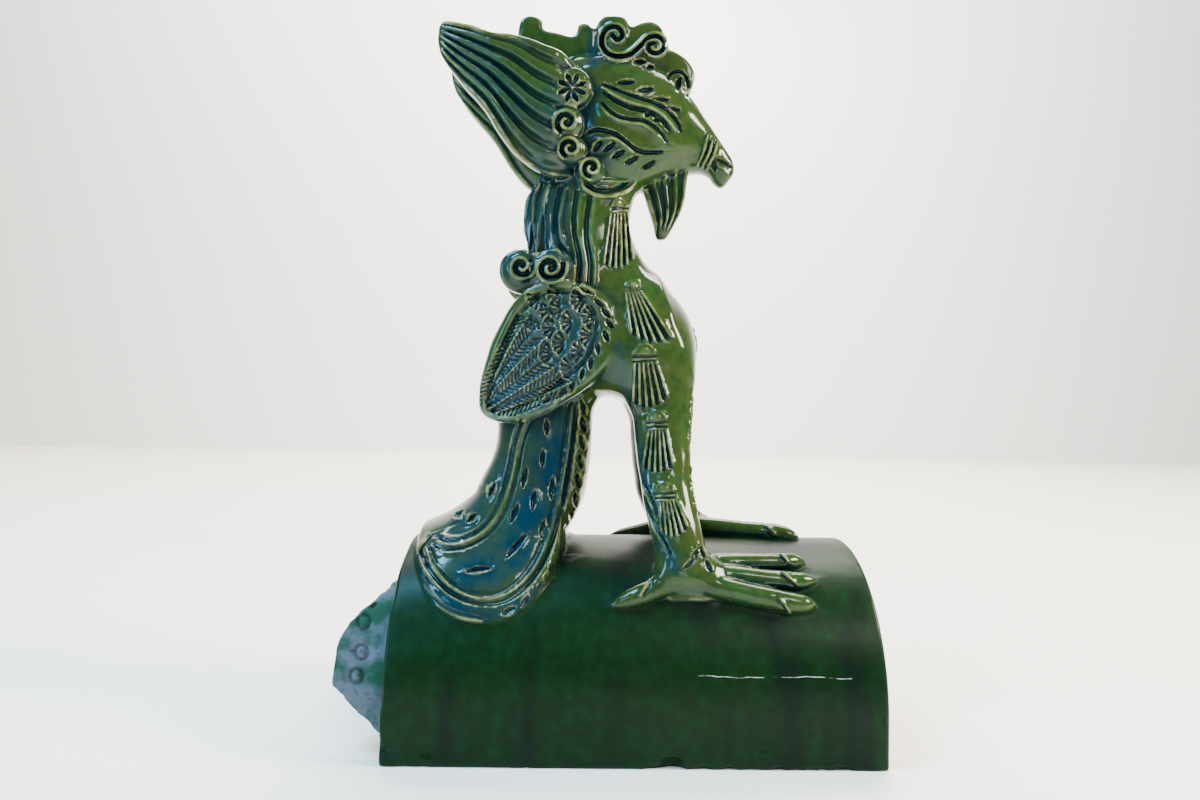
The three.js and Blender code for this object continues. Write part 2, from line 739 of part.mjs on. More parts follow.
function geometryOf(solid) {
  const mesh = solid.getMesh();
  const geometry = new THREE.BufferGeometry();
  geometry.setAttribute("position", new THREE.BufferAttribute(new Float32Array(mesh.vertProperties), 3));
  geometry.setIndex(new THREE.BufferAttribute(new Uint32Array(mesh.triVerts), 1));
  geometry.computeVertexNormals();
  return geometry;
}

const group = new THREE.Group();
const phoenixRidgeTile = new THREE.Mesh(geometryOf(whole), GLAZE);
phoenixRidgeTile.name = "phoenix_ridge_tile";
group.add(phoenixRidgeTile);

export default group;
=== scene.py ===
import math

import bpy
import numpy as np
from mathutils import Matrix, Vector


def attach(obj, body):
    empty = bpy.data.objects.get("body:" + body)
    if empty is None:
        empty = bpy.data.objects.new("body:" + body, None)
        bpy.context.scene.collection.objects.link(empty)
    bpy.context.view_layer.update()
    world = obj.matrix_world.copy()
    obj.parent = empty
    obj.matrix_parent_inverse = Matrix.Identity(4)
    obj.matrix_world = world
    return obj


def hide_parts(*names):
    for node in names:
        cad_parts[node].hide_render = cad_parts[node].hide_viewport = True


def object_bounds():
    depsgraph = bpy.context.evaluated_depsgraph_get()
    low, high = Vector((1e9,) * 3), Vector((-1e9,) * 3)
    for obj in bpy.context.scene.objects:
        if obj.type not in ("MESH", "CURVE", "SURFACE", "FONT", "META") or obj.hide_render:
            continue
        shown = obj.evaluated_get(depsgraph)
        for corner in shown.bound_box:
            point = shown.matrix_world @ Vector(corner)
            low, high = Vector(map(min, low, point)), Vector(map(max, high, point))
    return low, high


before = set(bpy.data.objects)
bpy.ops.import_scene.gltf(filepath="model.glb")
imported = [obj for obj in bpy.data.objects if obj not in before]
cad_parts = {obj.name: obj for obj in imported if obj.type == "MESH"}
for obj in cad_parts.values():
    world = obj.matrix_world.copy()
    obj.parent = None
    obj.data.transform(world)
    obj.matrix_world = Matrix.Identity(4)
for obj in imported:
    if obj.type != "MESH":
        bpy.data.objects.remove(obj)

# A glazed ridge tile with a standing phoenix. It is a distance field in millimetres in the part's frame, from
# the solid's stations. Drawn strokes carve it, then it is skinned, thinned and scaled to metres.

NODE = "phoenix_ridge_tile"
box_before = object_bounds()

CELL = 0.8
MOST_TRIANGLES = 196000
MM = 1000    # millimetres in a metre

# Lengths of the part, in millimetres

TILE_LENGTH = 280.0
TILE_RADIUS = 85.0
SKIRT_HEIGHT = 28.5
WALL = 13.0
SPIGOT_LENGTH = 31.0
SPIGOT_PLAY = 1.5
SPIGOT_RADIUS = TILE_RADIUS - WALL - SPIGOT_PLAY
SHOULDER = 18.0
MIDDLE = SPIGOT_LENGTH / 2
CREST = SKIRT_HEIGHT + TILE_RADIUS
LEFT = MIDDLE - TILE_LENGTH / 2
RIGHT = MIDDLE + TILE_LENGTH / 2
TIP = LEFT - SPIGOT_LENGTH
EAR_SPREAD = 27.0
NEAR, FAR = -1, 1

# Strength, seed and size of the soft unevenness of each surface

TILE_SWELL, TILE_RIPPLE = (0.15, 9, 42), (0.05, 10, 12)
BREAK_COARSE, BREAK_FINE = (0.5, 5, 11), (0.2, 6, 4)
HOLLOW_SWELL, SKIN_SWELL = (0.35, 8, 26), (0.22, 21, 22)
WAVES = 7
TILE_SUNK = 0.45    # leaves room for the tile's swell inside the solid's box
TILE_CLEAR = 0.8    # how far off the tile the bird's skin begins

# The field, a little larger than the part's box

LOW = np.array([-158.4, -88.0, -3.2])
HIGH = np.array([158.4, 88.0, 463.2])
OUTSIDE = 20.0
COUNTS = np.ceil((HIGH - LOW) / CELL).astype(int) + 1
field = np.full(COUNTS, OUTSIDE, np.float32)

# The camera, as the photo was taken, in millimetres and pixels of the picture

PICTURE_WIDTH, PICTURE_HEIGHT = 1200, 800
SENSOR = 36
FOCUS = 800.0
CENTRE_U, CENTRE_V = 600.0, 370.0
CAMERA = np.array([-16.42, -530.494, 194.247])
PITCH, ROLL, YAW = math.radians(3.0), 0.0180, -0.01921


def camera_axes():
    def turned(v):
        return np.array([v[0] * math.cos(YAW) - v[1] * math.sin(YAW),
                         v[0] * math.sin(YAW) + v[1] * math.cos(YAW), v[2]])
    right = turned((1, 0, 0))
    up = turned((0, -math.sin(PITCH), math.cos(PITCH)))
    forward = turned((0, math.cos(PITCH), math.sin(PITCH)))
    c, s = math.cos(ROLL), math.sin(ROLL)
    return c * right + s * up, c * up - s * right, forward


CAM_RIGHT, CAM_UP, CAM_FORWARD = camera_axes()


def seen_at(points):
    """Where the camera sees points of the near side, in pixels."""
    away = points - CAMERA
    depth = away @ CAM_FORWARD
    return CENTRE_U + FOCUS * (away @ CAM_RIGHT) / depth, CENTRE_V - FOCUS * (away @ CAM_UP) / depth


def seen_mirrored(x, y, z):
    """The same for points of either side, by the near side's drawing."""
    return seen_at(np.stack([x, -np.abs(y), z], axis=1))


# Working on the field

def unit(value):
    return np.clip(value, 0, 1)


def window(low, high):
    """Slices of the field between two corners, and its x, y and z there."""
    first = np.maximum(np.floor((np.array(low) - LOW) / CELL), 0).astype(int)
    last = np.minimum(np.ceil((np.array(high) - LOW) / CELL) + 1, COUNTS).astype(int)
    where = tuple(slice(a, b) for a, b in zip(first, last))
    x, y, z = (LOW[i] + CELL * np.arange(first[i], last[i], dtype=np.float32) for i in range(3))
    return where, x[:, None, None], y[None, :, None], z[None, None, :]


def side_view(x, z):
    """Places in the side view, from the middle of the tile's crest."""
    return np.broadcast_arrays(x[:, 0, :] - MIDDLE, z[0, :, :] - CREST)


def softer_min(a, b, k):
    """The smaller of two distances, rounded over k millimetres where they meet."""
    if k <= 0:
        return np.minimum(a, b)
    h = np.maximum(k - np.abs(a - b), 0) / k
    return np.minimum(a, b) - h * h * k / 4


def softer_max(a, b, k):
    return -softer_min(-a, -b, k)


def add(where, distance, blend):
    field[where] = softer_min(field[where], distance.astype(np.float32), blend)


def cut(where, distance, blend):
    field[where] = softer_max(field[where], -distance.astype(np.float32), blend)


def spline(rows, count):
    """A smooth line through rows, evenly from row to row."""
    rows = np.asarray(rows, float)
    p = np.vstack([2 * rows[0] - rows[1], rows, 2 * rows[-1] - rows[-2]])
    t = np.linspace(0, len(rows) - 1, count)
    i = np.minimum(t.astype(int), len(rows) - 2)
    f = (t - i)[:, None]
    a, b, c, d = p[i], p[i + 1], p[i + 2], p[i + 3]
    u, v = (c - a) / 2, (d - b) / 2
    return b + u * f + (3 * (c - b) - 2 * u - v) * f ** 2 + (2 * (b - c) + u + v) * f ** 3


LIMB_STEPS = 90
LIMB_MARGIN = 9.0


def limb(stations, power, blend, cap=4.0, relief=None):
    """A round form lofted along stations of (x1, z1, x2, z2, y, half), as the solid's limbs are."""
    curve = spline(stations, LIMB_STEPS)
    xs, zs = curve[:, [0, 2]], curve[:, [1, 3]]
    reach = LIMB_MARGIN + blend
    where, x, y, z = window(
        (MIDDLE + xs.min() - reach, (curve[:, 4] - curve[:, 5]).min() - reach, CREST + zs.min() - reach),
        (MIDDLE + xs.max() + reach, (curve[:, 4] + curve[:, 5]).max() + reach, CREST + zs.max() + reach))
    px, pz = side_view(x, z)
    a, b = curve[:, 0:2], curve[:, 2:4]
    mid = (a + b) / 2
    across = (a - b) / np.linalg.norm(a - b, axis=1)[:, None]
    travel = np.gradient(mid, axis=0)
    ahead_of = np.stack([-across[:, 1], across[:, 0]], axis=1)
    ahead_of *= np.sign((ahead_of * travel).sum(axis=1))[:, None]
    ahead = ((px[None] - mid[:, 0, None, None]) * ahead_of[:, 0, None, None]
             + (pz[None] - mid[:, 1, None, None]) * ahead_of[:, 1, None, None])
    behind = ahead <= 0
    k = np.argmax(behind, axis=0)
    k = np.where(behind.any(axis=0), np.maximum(k, 1), LIMB_STEPS - 1)
    g1 = np.take_along_axis(ahead, k[None], 0)[0]
    g0 = np.take_along_axis(ahead, k[None] - 1, 0)[0]
    share = unit(g0 / np.where(np.abs(g0 - g1) < 1e-6, 1e-6, g0 - g1))
    over = np.maximum(-ahead[0], ahead[-1])

    def at(column):
        return column[k - 1] * (1 - share) + column[k] * share

    ax, az, bx, bz = (at(curve[:, i]) for i in range(4))
    length2 = (ax - bx) ** 2 + (az - bz) ** 2
    s = 2 * ((px - (ax + bx) / 2) * (ax - bx) + (pz - (az + bz) / 2) * (az - bz)) / length2
    radius = np.sqrt(length2)[:, None, :] / 2
    half = at(curve[:, 5])[:, None, :]
    s = s[:, None, :]
    v = (y - at(curve[:, 4])[:, None, :]) / half
    g = np.maximum((np.abs(s) ** power + np.abs(v) ** power) ** (1 / power), 0.05)
    slope = np.hypot(np.abs(s / g) ** (power - 1) / radius, np.abs(v / g) ** (power - 1) / half)
    distance = (g - 1) / np.maximum(slope, 1e-4)
    if relief is not None:
        t = ((k - 1 + share) / (LIMB_STEPS - 1))[:, None, :]
        theta = np.arctan2(*(np.sign(n) * np.abs(n / g) ** (power / 2) for n in (v, s)))
        lift = relief(t, theta, s, x - MIDDLE, y, z - CREST)
        distance = distance - lift * unit(1.5 - np.abs(distance) / 6)
    add(where, softer_max(distance, over[:, None, :], cap), blend)


def tube(points, radii, blend):
    """A round bar along points, with a radius at each."""
    points, radii = np.asarray(points, float), np.asarray(radii, float)
    reach = radii.max() + 8
    where, x, y, z = window(points.min(axis=0) - reach, points.max(axis=0) + reach)
    best = None
    for p, q, r, s in zip(points, points[1:], radii, radii[1:]):
        d = q - p
        t = unit(((x - p[0]) * d[0] + (y - p[1]) * d[1] + (z - p[2]) * d[2]) / (d @ d))
        here = np.sqrt((x - p[0] - t * d[0]) ** 2 + (y - p[1] - t * d[1]) ** 2
                       + (z - p[2] - t * d[2]) ** 2) - (r + (s - r) * t)
        best = here if best is None else softer_min(best, here, 0.6)
    add(where, best, blend)


def outline_distance(outline, px, pz):
    """Signed distance from a closed outline in the side view, negative inside."""
    outline = np.asarray(outline, float)
    best = np.full(px.shape, 1e9)
    inside = np.zeros(px.shape, bool)
    for p, q in zip(outline, np.roll(outline, -1, axis=0)):
        d = q - p
        t = unit(((px - p[0]) * d[0] + (pz - p[1]) * d[1]) / max(d @ d, 1e-9))
        best = np.minimum(best, (px - p[0] - t * d[0]) ** 2 + (pz - p[1] - t * d[1]) ** 2)
        rises = (p[1] > pz) != (q[1] > pz)
        if abs(d[1]) > 1e-9:
            inside ^= rises & (px < p[0] + (pz - p[1]) * d[0] / d[1])
    return np.where(inside, -1, 1) * np.sqrt(best)


def closed_spline(rows, per_row):
    rows = np.asarray(rows, float)
    loop = np.vstack([rows[-2:], rows, rows[:3]])
    line = spline(loop, (len(loop) - 1) * per_row + 1)
    return line[2 * per_row:(2 + len(rows)) * per_row]


def boss(x0, z0, radius, reach, depth, side, blend=1.2, round_off=4.0):
    """A round boss that stands out to one side."""
    pad = 10
    low_y, high_y = sorted((side * (reach - depth - 6), side * (reach + pad)))
    where, x, y, z = window((MIDDLE + x0 - radius - pad, low_y, CREST + z0 - radius - pad),
                            (MIDDLE + x0 + radius + pad, high_y, CREST + z0 + radius + pad))
    rim = np.hypot(x - MIDDLE - x0, z - CREST - z0)
    crown = reach - 1.5 * unit(rim / radius) ** 2
    distance = softer_max(rim - radius, side * y - crown, round_off)
    distance = softer_max(distance, reach - depth - side * y, 2)
    add(where, distance, blend)


# The tile

def arch(y, z, radius):
    return np.where(z > SKIRT_HEIGHT, np.hypot(y, z - SKIRT_HEIGHT) - radius, np.abs(y) - radius)


def off_tile(y, z):
    """Nought on the tile's surface, one 2 mm above it."""
    return unit((arch(y, z, TILE_RADIUS) - TILE_CLEAR) / 1.2)


def waves(x, y, z, strength, seed, size):
    """Soft unevenness of that strength and size, in millimetres."""
    draw = np.random.default_rng(seed)
    total = 0
    for _ in range(WAVES):
        way = draw.normal(size=3)
        way *= 2 * math.pi / (size * draw.uniform(0.7, 1.6) * np.linalg.norm(way))
        total = total + np.sin(way[0] * x + way[1] * y + way[2] * z + draw.uniform(0, 2 * math.pi))
    return strength * (total / math.sqrt(WAVES))


def build_tile():
    where, x, y, z = window((TIP - 5, -90, -5), (RIGHT + 5, 90, CREST + 6))
    outer = arch(y, z, TILE_RADIUS - TILE_SUNK) + waves(x, y, z, *TILE_SWELL) + waves(x, y, z, *TILE_RIPPLE)
    outer = softer_max(outer, np.abs(x - MIDDLE) - TILE_LENGTH / 2, 3.0)
    ragged = waves(x, y, z, *BREAK_COARSE) + waves(x, y, z, *BREAK_FINE)
    ring = softer_max(arch(y, z, SPIGOT_RADIUS), np.maximum(TIP - x, x - LEFT - 9), 2.5)
    top = SKIRT_HEIGHT + SPIGOT_RADIUS
    # Where the spigot is broken away, in the side view
    crown = [(TIP - 9, 58), (TIP, 58), (TIP + 5, 70), (LEFT - 12, 82), (LEFT - 3, 88),
             (LEFT - 0.5, top + 9), (TIP - 9, top + 9)]
    foot = [(TIP - 9, -9), (LEFT - 0.5, -9), (LEFT - 0.5, 12), (LEFT - 4, 12), (TIP, 38), (TIP - 9, 38)]
    px, pz = np.broadcast_arrays(x[:, 0, :], z[0, :, :])
    for broken in (crown, foot):
        ring = softer_max(ring, -outline_distance(broken, px, pz)[:, None, :] + ragged + 0.6, 1.0)
    solid = softer_min(outer, ring, 1.5)
    hollow = softer_min(
        softer_max(arch(y, z, TILE_RADIUS - WALL), LEFT + SHOULDER - x, 1.5),
        arch(y, z, SPIGOT_RADIUS - WALL), 1.5)
    hollow = hollow + waves(x, y, z, *HOLLOW_SWELL)
    solid = softer_max(solid, -hollow, 2.0)
    add(where, softer_max(solid, -z, 1.6), 0)


# The chips that show in the photo: x, y, z and radius
SEEN_CHIPS = [(35.5, -85, 2.5, 4.6), (29.0, -86, 0.5, 3.4), (85, -85.5, 11, 2.0), (-123, -85, 9, 2.8),
    (-98, -85.5, 7, 2.4)]
NEAR_CHIPS, FOOT_CHIPS, END_CHIPS = 38, 26, 26
CHIP_SEED, CHIP_SIDE, CHIP_ROUND = 11, 85.6, 85.3


def chip_tile():
    """Chips and pits of the lower edges and the right end."""
    draw = np.random.default_rng(CHIP_SEED)
    places = list(SEEN_CHIPS)
    for _ in range(NEAR_CHIPS):
        places.append((draw.uniform(20, RIGHT), -CHIP_SIDE, draw.uniform(-1, 1.6), draw.uniform(1.2, 2.9)))
    for _ in range(FOOT_CHIPS):
        places.append((draw.uniform(LEFT, RIGHT), draw.choice([-1, 1]) * CHIP_SIDE, draw.uniform(-1, 1),
                       draw.uniform(1.0, 2.2)))
    for _ in range(END_CHIPS):
        turn = math.radians(draw.uniform(-100, 100))
        places.append((RIGHT + 0.4, CHIP_ROUND * math.sin(turn),
                       max(1, SKIRT_HEIGHT + CHIP_ROUND * math.cos(turn)), draw.uniform(0.8, 1.9)))
    for cx, cy, cz, r in places:
        where, x, y, z = window([c - r - 5 for c in (cx, cy, cz)], [c + r + 5 for c in (cx, cy, cz)])
        stretch = draw.uniform(1.1, 2.0)
        ball = np.sqrt(((x - cx) / stretch) ** 2 + (y - cy) ** 2 + (z - cz) ** 2) - r
        cut(where, ball, 0.8)


# The bird

def on_tile(x, angle, rise, side):
    """A point over the tile, at an angle from its crest to one side."""
    turn = math.radians(angle)
    reach = TILE_RADIUS + rise
    return (MIDDLE + x, side * reach * math.sin(turn), SKIRT_HEIGHT + reach * math.cos(turn))


def stacked(*rows):
    """Stations across the middle with level sections, from rows of (x1, x2, z, half)."""
    return [(x1, z, x2, z, 0, half) for x1, x2, z, half in rows]


NECK = stacked((6, -60, 240, 24), (-1, -70, 222, 27), (-4, -72, 207, 28), (0, -70.5, 192, 28.5),
    (9, -67, 177, 30), (23, -62, 162, 34), (36, -56, 145, 39), (41, -48, 127, 42), (39.5, -42, 109, 42),
    (36, -34, 96, 37), (28, 0, 87, 26), (20, 6, 82, 10))
RUMP = [(12, 168, 30, 96, 0, 34), (-40, 162, -6, 96, 0, 40), (-73, 153, -30, 93, 0, 41),
    (-86, 130, -55, 80, 0, 38), (-95, 106, -74, 74, 0, 31), (-96.5, 93, -86, 76, 0, 20)]
HEAD = [(-60, 306, -60, 240, 0, 18), (-42, 318, -38, 226, 0, 29), (-14, 319, -16, 223, 0, 33),
    (10, 312, 5, 230, 0, 30), (30, 299, 20, 237, 0, 25), (43, 283, 32, 241, 0, 19),
    (52, 270, 42, 242.5, 0, 14), (59, 260, 49, 240, 0, 10.5), (65, 251, 52, 236, 0, 8),
    (66, 243, 55, 233.5, 0, 6), (62, 236, 57.5, 232, 0, 3)]
EAR = [(-34, 298, -40, 230, 0.72, 8), (-49.5, 309, -57.5, 229, 1.1, 9.5), (-63.5, 313.5, -73, 237, 1.16, 9),
    (-79, 318, -86, 250.5, 1.18, 8.5), (-94, 319, -99, 270.5, 1.16, 8), (-110.5, 324.5, -113.5, 287, 1.1, 7),
    (-123.5, 328, -125.5, 303.5, 1.04, 5), (-129.5, 327, -130.5, 315.5, 1, 2.5)]
BEARD = [(36, 246, 2, 240, 0, 9), (35, 232, 7, 226, 0, 9), (31, 218, 10, 212, 0, 8),
    (26, 206, 13, 203, 0, 6.5), (21, 197, 15, 196, 0, 3.5)]
TAIL_ROOT = stacked((-8, -76, 108, 30), (-19, -84, 93, 30), (-25, -86.5, 82, 30), (-26.5, -88, 64, 30.5),
    (-27, -92, 48, 32), (-29, -98.5, 34, 34))
# Below its root the tail draws in towards the breast, and the lobe covers the rest of it
TAIL_SKIRT = stacked((-31.5, -100, 23, 38), (-36, -104, 13, 41), (-41, -110, 3, 43), (-44, -112, -10, 43))
NEAR_FOOT_ANGLE, FAR_FOOT_ANGLE = 38, 15


def leg_stations(side, angle, lean):
    """A leg from the breast to the foot at that angle on the tile; lean moves its foot forward."""
    _, foot, level = on_tile(0, angle, 0, side)
    foot, ground, hip = abs(foot), level - CREST, 19

    def across(share):
        return side * (hip + (foot - hip) * share)

    return [
        (20, 150, -2, 150, side * 13, 9), (29, 138, -9, 138, side * 15, 16),
        (36.5, 122, -14, 122, across(0), 21), (37, 93, -8, 93, across(0.08), 19.5),
        (35.5, 77, -1, 77, across(0.2), 17), (34.5, 60, 0.5, 60, across(0.38), 15),
        (34.5 + lean * 0.3, 44, 2.5, 44, across(0.56), 13.5),
        (36 + lean * 0.6, 28, 5, 28, across(0.74), 13),
        (39 + lean, 14, 8 + lean * 0.3, 14, across(0.9), 13),
        (44 + lean, ground + 10, 13 + lean * 0.6, ground + 10, across(1), 14),
        (46 + lean, ground - 6, 16 + lean, ground - 6, across(1), 14),
    ]


STRANDS = 14


def mane(t, theta, s, x, y, z):
    """Strands down the rear half of the neck, a sharp ridge beside a deep groove, and the front's fan."""
    turn = np.arctan2(np.abs(y) / 28, (x + 36) / 34)
    phase = STRANDS * (turn - 0.05 * np.sin((z - 200) / 14)) + 2.4
    wave = 1.9 * np.cos(phase) + 0.6 * np.cos(2 * phase + 1.8)
    rear = unit((-0.55 - np.cos(turn)) / 0.2)
    length = unit((244 - z) / 5) * unit((z - 172) / 8)
    front_fan = shell_front(theta, z, 140, 104, 0.17)
    return wave * rear * length + front_fan


SHELL_RIBS = 3


def shell_front(theta, z, top, foot, spread):
    """A shell-shaped fan about the front line of a limb with level sections."""
    down = (top - z) / (top - foot)
    wide = spread * (0.45 + 0.75 * down)
    a = theta / np.maximum(wide, 0.02)
    inside = unit((1 - np.abs(a)) * 5) * unit(down * 12)
    inside = inside * unit((1 - down - 0.1 * a * a) * 10)
    return inside * (0.9 + (0.5 - 1.2 * np.sin(a * math.pi * SHELL_RIBS) ** 2))


def leg_front(t, theta, s, x, y, z):
    turn = np.abs(theta)
    return shell_front(turn - 0.35, z, 98, 60, 0.24) + 0.9 * shell_front(turn - 0.3, z, 50, 20, 0.2)


EAR_FLUTES, FLUTE_OUTSIDE, FLUTE_INSIDE = 3.1, 2.3, 1.3


def ear_flutes(side):
    def relief(t, theta, s, x, y, z):
        swing = np.clip(s, -1.1, 1.1) + 0.07 * np.sin(t * 8.5)
        wave = np.cos(2 * math.pi * EAR_FLUTES * swing + 0.3)
        sharp = 0.95 * wave - 0.32 * np.cos(4 * math.pi * EAR_FLUTES * swing + 0.9)
        outward = side * np.sin(theta)
        strength = np.where(outward > 0, FLUTE_OUTSIDE, FLUTE_INSIDE)
        strength = strength * unit((np.abs(outward) - 0.15) * 3)
        return sharp * strength * unit((1.02 - t) * 4) * np.clip(t * 8, 0.4, 1)
    return relief


def beard_flutes(t, theta, s, x, y, z):
    swing = s + 0.10 * np.sin(t * 8)
    return 1.5 * np.cos(2 * math.pi * 2.2 * swing + 0.4) * unit((1 - t) * 3)


# Shares of a toe's length, and its radius there
TOE_RADII = [0, 0.35, 0.66, 0.70, 0.72, 0.80, 0.92, 1], [6.9, 6.3, 5.6, 5.9, 5.4, 5.2, 3.6, 1.5]


def toe(path, side, blend):
    points = spline([on_tile(x, angle, rise, side) for x, angle, rise in path], 26)
    tube(points, np.interp(np.linspace(0, 1, len(points)), *TOE_RADII), blend)


def foot(side, angle, spread, forward):
    """Three toes ahead, one behind, and the sole between them."""
    for k in (-1, 0, 1):
        toe([(30 + forward, angle + k * 2, 6), (50 + forward, angle + k * spread * 0.6, 5),
             (88 + forward, angle + k * spread + spread * 0.1, 3),
             (107 + forward - abs(k) * 4, angle + k * spread * 1.15, 1)], side, 1.6)
    toe([(32 + forward, angle + 2, 8), (19, angle + 4, 5), (4, angle + 8, 3), (-13, angle + 12, 1)],
        side, 1.6)
    tube([on_tile(24 + forward, angle, 7, side), on_tile(40 + forward, angle, 6, side)], [12.5, 10.5], 5)


LOBE_X, LOBE_WIDE, LOBE_HALF = -88.0, 0.85 * TILE_RADIUS, 47.5
LOBE_POWER, LOBE_EDGE, LOBE_TOP = 2.55, 7.0, 34.0


def build_lobe():
    """The foot of the tail, spread over the tile like a saddle cloth."""
    end = TAIL_ROOT[-1]
    top_x, top_half, top_wide = (end[0] + end[2]) / 2, (end[0] - end[2]) / 2, end[5]
    where, x, y, z = window(
        (MIDDLE + LOBE_X - LOBE_HALF - 12, -LOBE_WIDE - 14, CREST - 70),
        (MIDDLE + LOBE_X + LOBE_HALF + 40, LOBE_WIDE + 14, CREST + LOBE_TOP + 14))
    px, py = np.broadcast_arrays(x[:, :, 0] - MIDDLE, y[:, :, 0])
    steps = np.linspace(-0.12, 1, 64)

    def round_the_section(k):
        across = (px - (LOBE_X + (top_x - LOBE_X) * k)) / (LOBE_HALF + (top_half - LOBE_HALF) * k)
        sideways = py / (LOBE_WIDE + (top_wide - LOBE_WIDE) * k)
        return (np.abs(across) ** LOBE_POWER + np.abs(sideways) ** LOBE_POWER) ** (1 / LOBE_POWER)

    rho = np.stack([round_the_section(k) for k in steps])
    outside = rho >= 1
    i = np.argmax(outside, axis=0)
    full = ~outside.any(axis=0)
    i = np.where(full, len(steps) - 1, np.maximum(i, 1))
    r0 = np.take_along_axis(rho, i[None] - 1, 0)[0]
    r1 = np.take_along_axis(rho, i[None], 0)[0]
    share = unit((1 - r0) / np.maximum(r1 - r0, 1e-6))
    k = np.where(full, 1.0, steps[i - 1] * (1 - share) + steps[i] * share)
    k = np.where(rho[0] >= 1, -0.12, k)
    held = np.clip(k, 0, 0.985)
    climb = 0.5 * held + 0.5 * (1 - np.sqrt(1 - held ** 2))
    # The height of the tile under the edge that a point belongs to
    shrink = np.clip(LOBE_WIDE / (LOBE_WIDE + (top_wide - LOBE_WIDE) * held), 1, 3)
    edge_y = np.clip(np.abs(py) * shrink, 0, LOBE_WIDE)
    edge_z = SKIRT_HEIGHT + np.sqrt(TILE_RADIUS ** 2 - edge_y ** 2) - CREST
    edge_z = edge_z + LOBE_EDGE * np.minimum(1, 0.75 + 3 * held)
    skin = edge_z + (LOBE_TOP - edge_z) * climb
    gx, gy = np.gradient(skin, CELL, CELL)
    steep = np.minimum(np.sqrt(1 + gx ** 2 + gy ** 2), 4)
    lid = (z - CREST - skin[:, :, None]) / steep[:, :, None]
    width = 0.8 * LOBE_HALF
    brim = np.where(k < 0.9, -k * width, -0.9 * width)[:, :, None]
    under = -(arch(y, z, TILE_RADIUS - 6))
    add(where, softer_max(softer_max(lid, brim, 3.0), under, 1.0), 3.0)


WING_OUTLINE = [(-52, 162), (-34, 159), (-22, 155), (-13, 143), (-10, 129), (-15, 112), (-26, 99), (-41, 87),
    (-56, 78), (-73, 73), (-87, 74), (-97, 83), (-95, 107), (-88, 127), (-80, 142), (-68, 156)]
WING_FIELD = [(-66, 147), (-57, 152.5), (-40, 153.5), (-31, 147.5), (-26, 139.5), (-25, 131.5), (-28, 119.5),
    (-33, 110.5), (-42, 102), (-58, 90), (-74, 82), (-86, 79.5), (-91, 84), (-88, 103), (-81, 122),
    (-74, 137)]


WING_REACH, WING_HEART_X = 49.0, -50.0


def build_wing(side):
    low_y, high_y = sorted((side * 14, side * (WING_REACH + 12)))
    where, x, y, z = window((MIDDLE - 110, low_y, CREST + 60), (MIDDLE + 2, high_y, CREST + 175))
    px, pz = side_view(x, z)
    edge = outline_distance(closed_spline(WING_OUTLINE, 8), px, pz)
    inner = outline_distance(closed_spline(WING_FIELD, 8), px, pz)
    face = WING_REACH - 11 * ((px - WING_HEART_X) / 45) ** 2
    face = face - 2.4 * np.exp(-(inner / 1.5) ** 2) - np.where(inner < 0, 0.8, 0)
    face = face + 0.5 * np.exp(-((edge + 3.5) / 2.5) ** 2)
    distance = softer_max(edge[:, None, :], side * y - face[:, None, :], 7.0)
    distance = softer_max(distance, face[:, None, :] - 18 - side * y, 3.0)
    add(where, distance, 1.0)


COMB_OUTLINE = [(-80, 322), (-81, 333), (-80, 342), (-76, 346), (-70, 346), (-65, 343), (-63, 337),
    (-54, 335), (-45, 333), (-42, 336), (-41, 340), (-37, 342), (-33, 341), (-30, 339), (-27, 343.5),
    (-22, 347), (-10, 346), (-5, 340), (1, 342), (8, 343), (15, 340), (19, 333), (19, 326), (26, 323),
    (33, 318), (38, 310), (38, 303), (34, 297), (10, 295), (-40, 300), (-62, 306)]


def build_comb():
    where, x, y, z = window((MIDDLE - 92, -18, CREST + 284), (MIDDLE + 50, 18, CREST + 352))
    px, pz = side_view(x, z)
    edge = outline_distance(closed_spline(COMB_OUTLINE, 6), px, pz) + 0.4
    recess = np.exp(-((px + 25.5) / 5.5) ** 2) * unit((344 - pz) / 6) * unit((pz - 318) / 8)
    behind = unit((-30 - px) / 6)
    face = 9.3 - 3.2 * recess - 1.6 * behind
    add(where, softer_max(edge[:, None, :], np.abs(y) - face[:, None, :], 4.0), 2.0)


SIDE_CURLS = [(-46, 263, 10.5, 39), (-43, 246, 9.5, 37), (-31, 234, 9, 33)]
MANE_CURLS = [(-73.5, 169, 14, 31), (-53.5, 168, 14, 41)]
ROSETTE = (-43, 285, 12.5, 40)


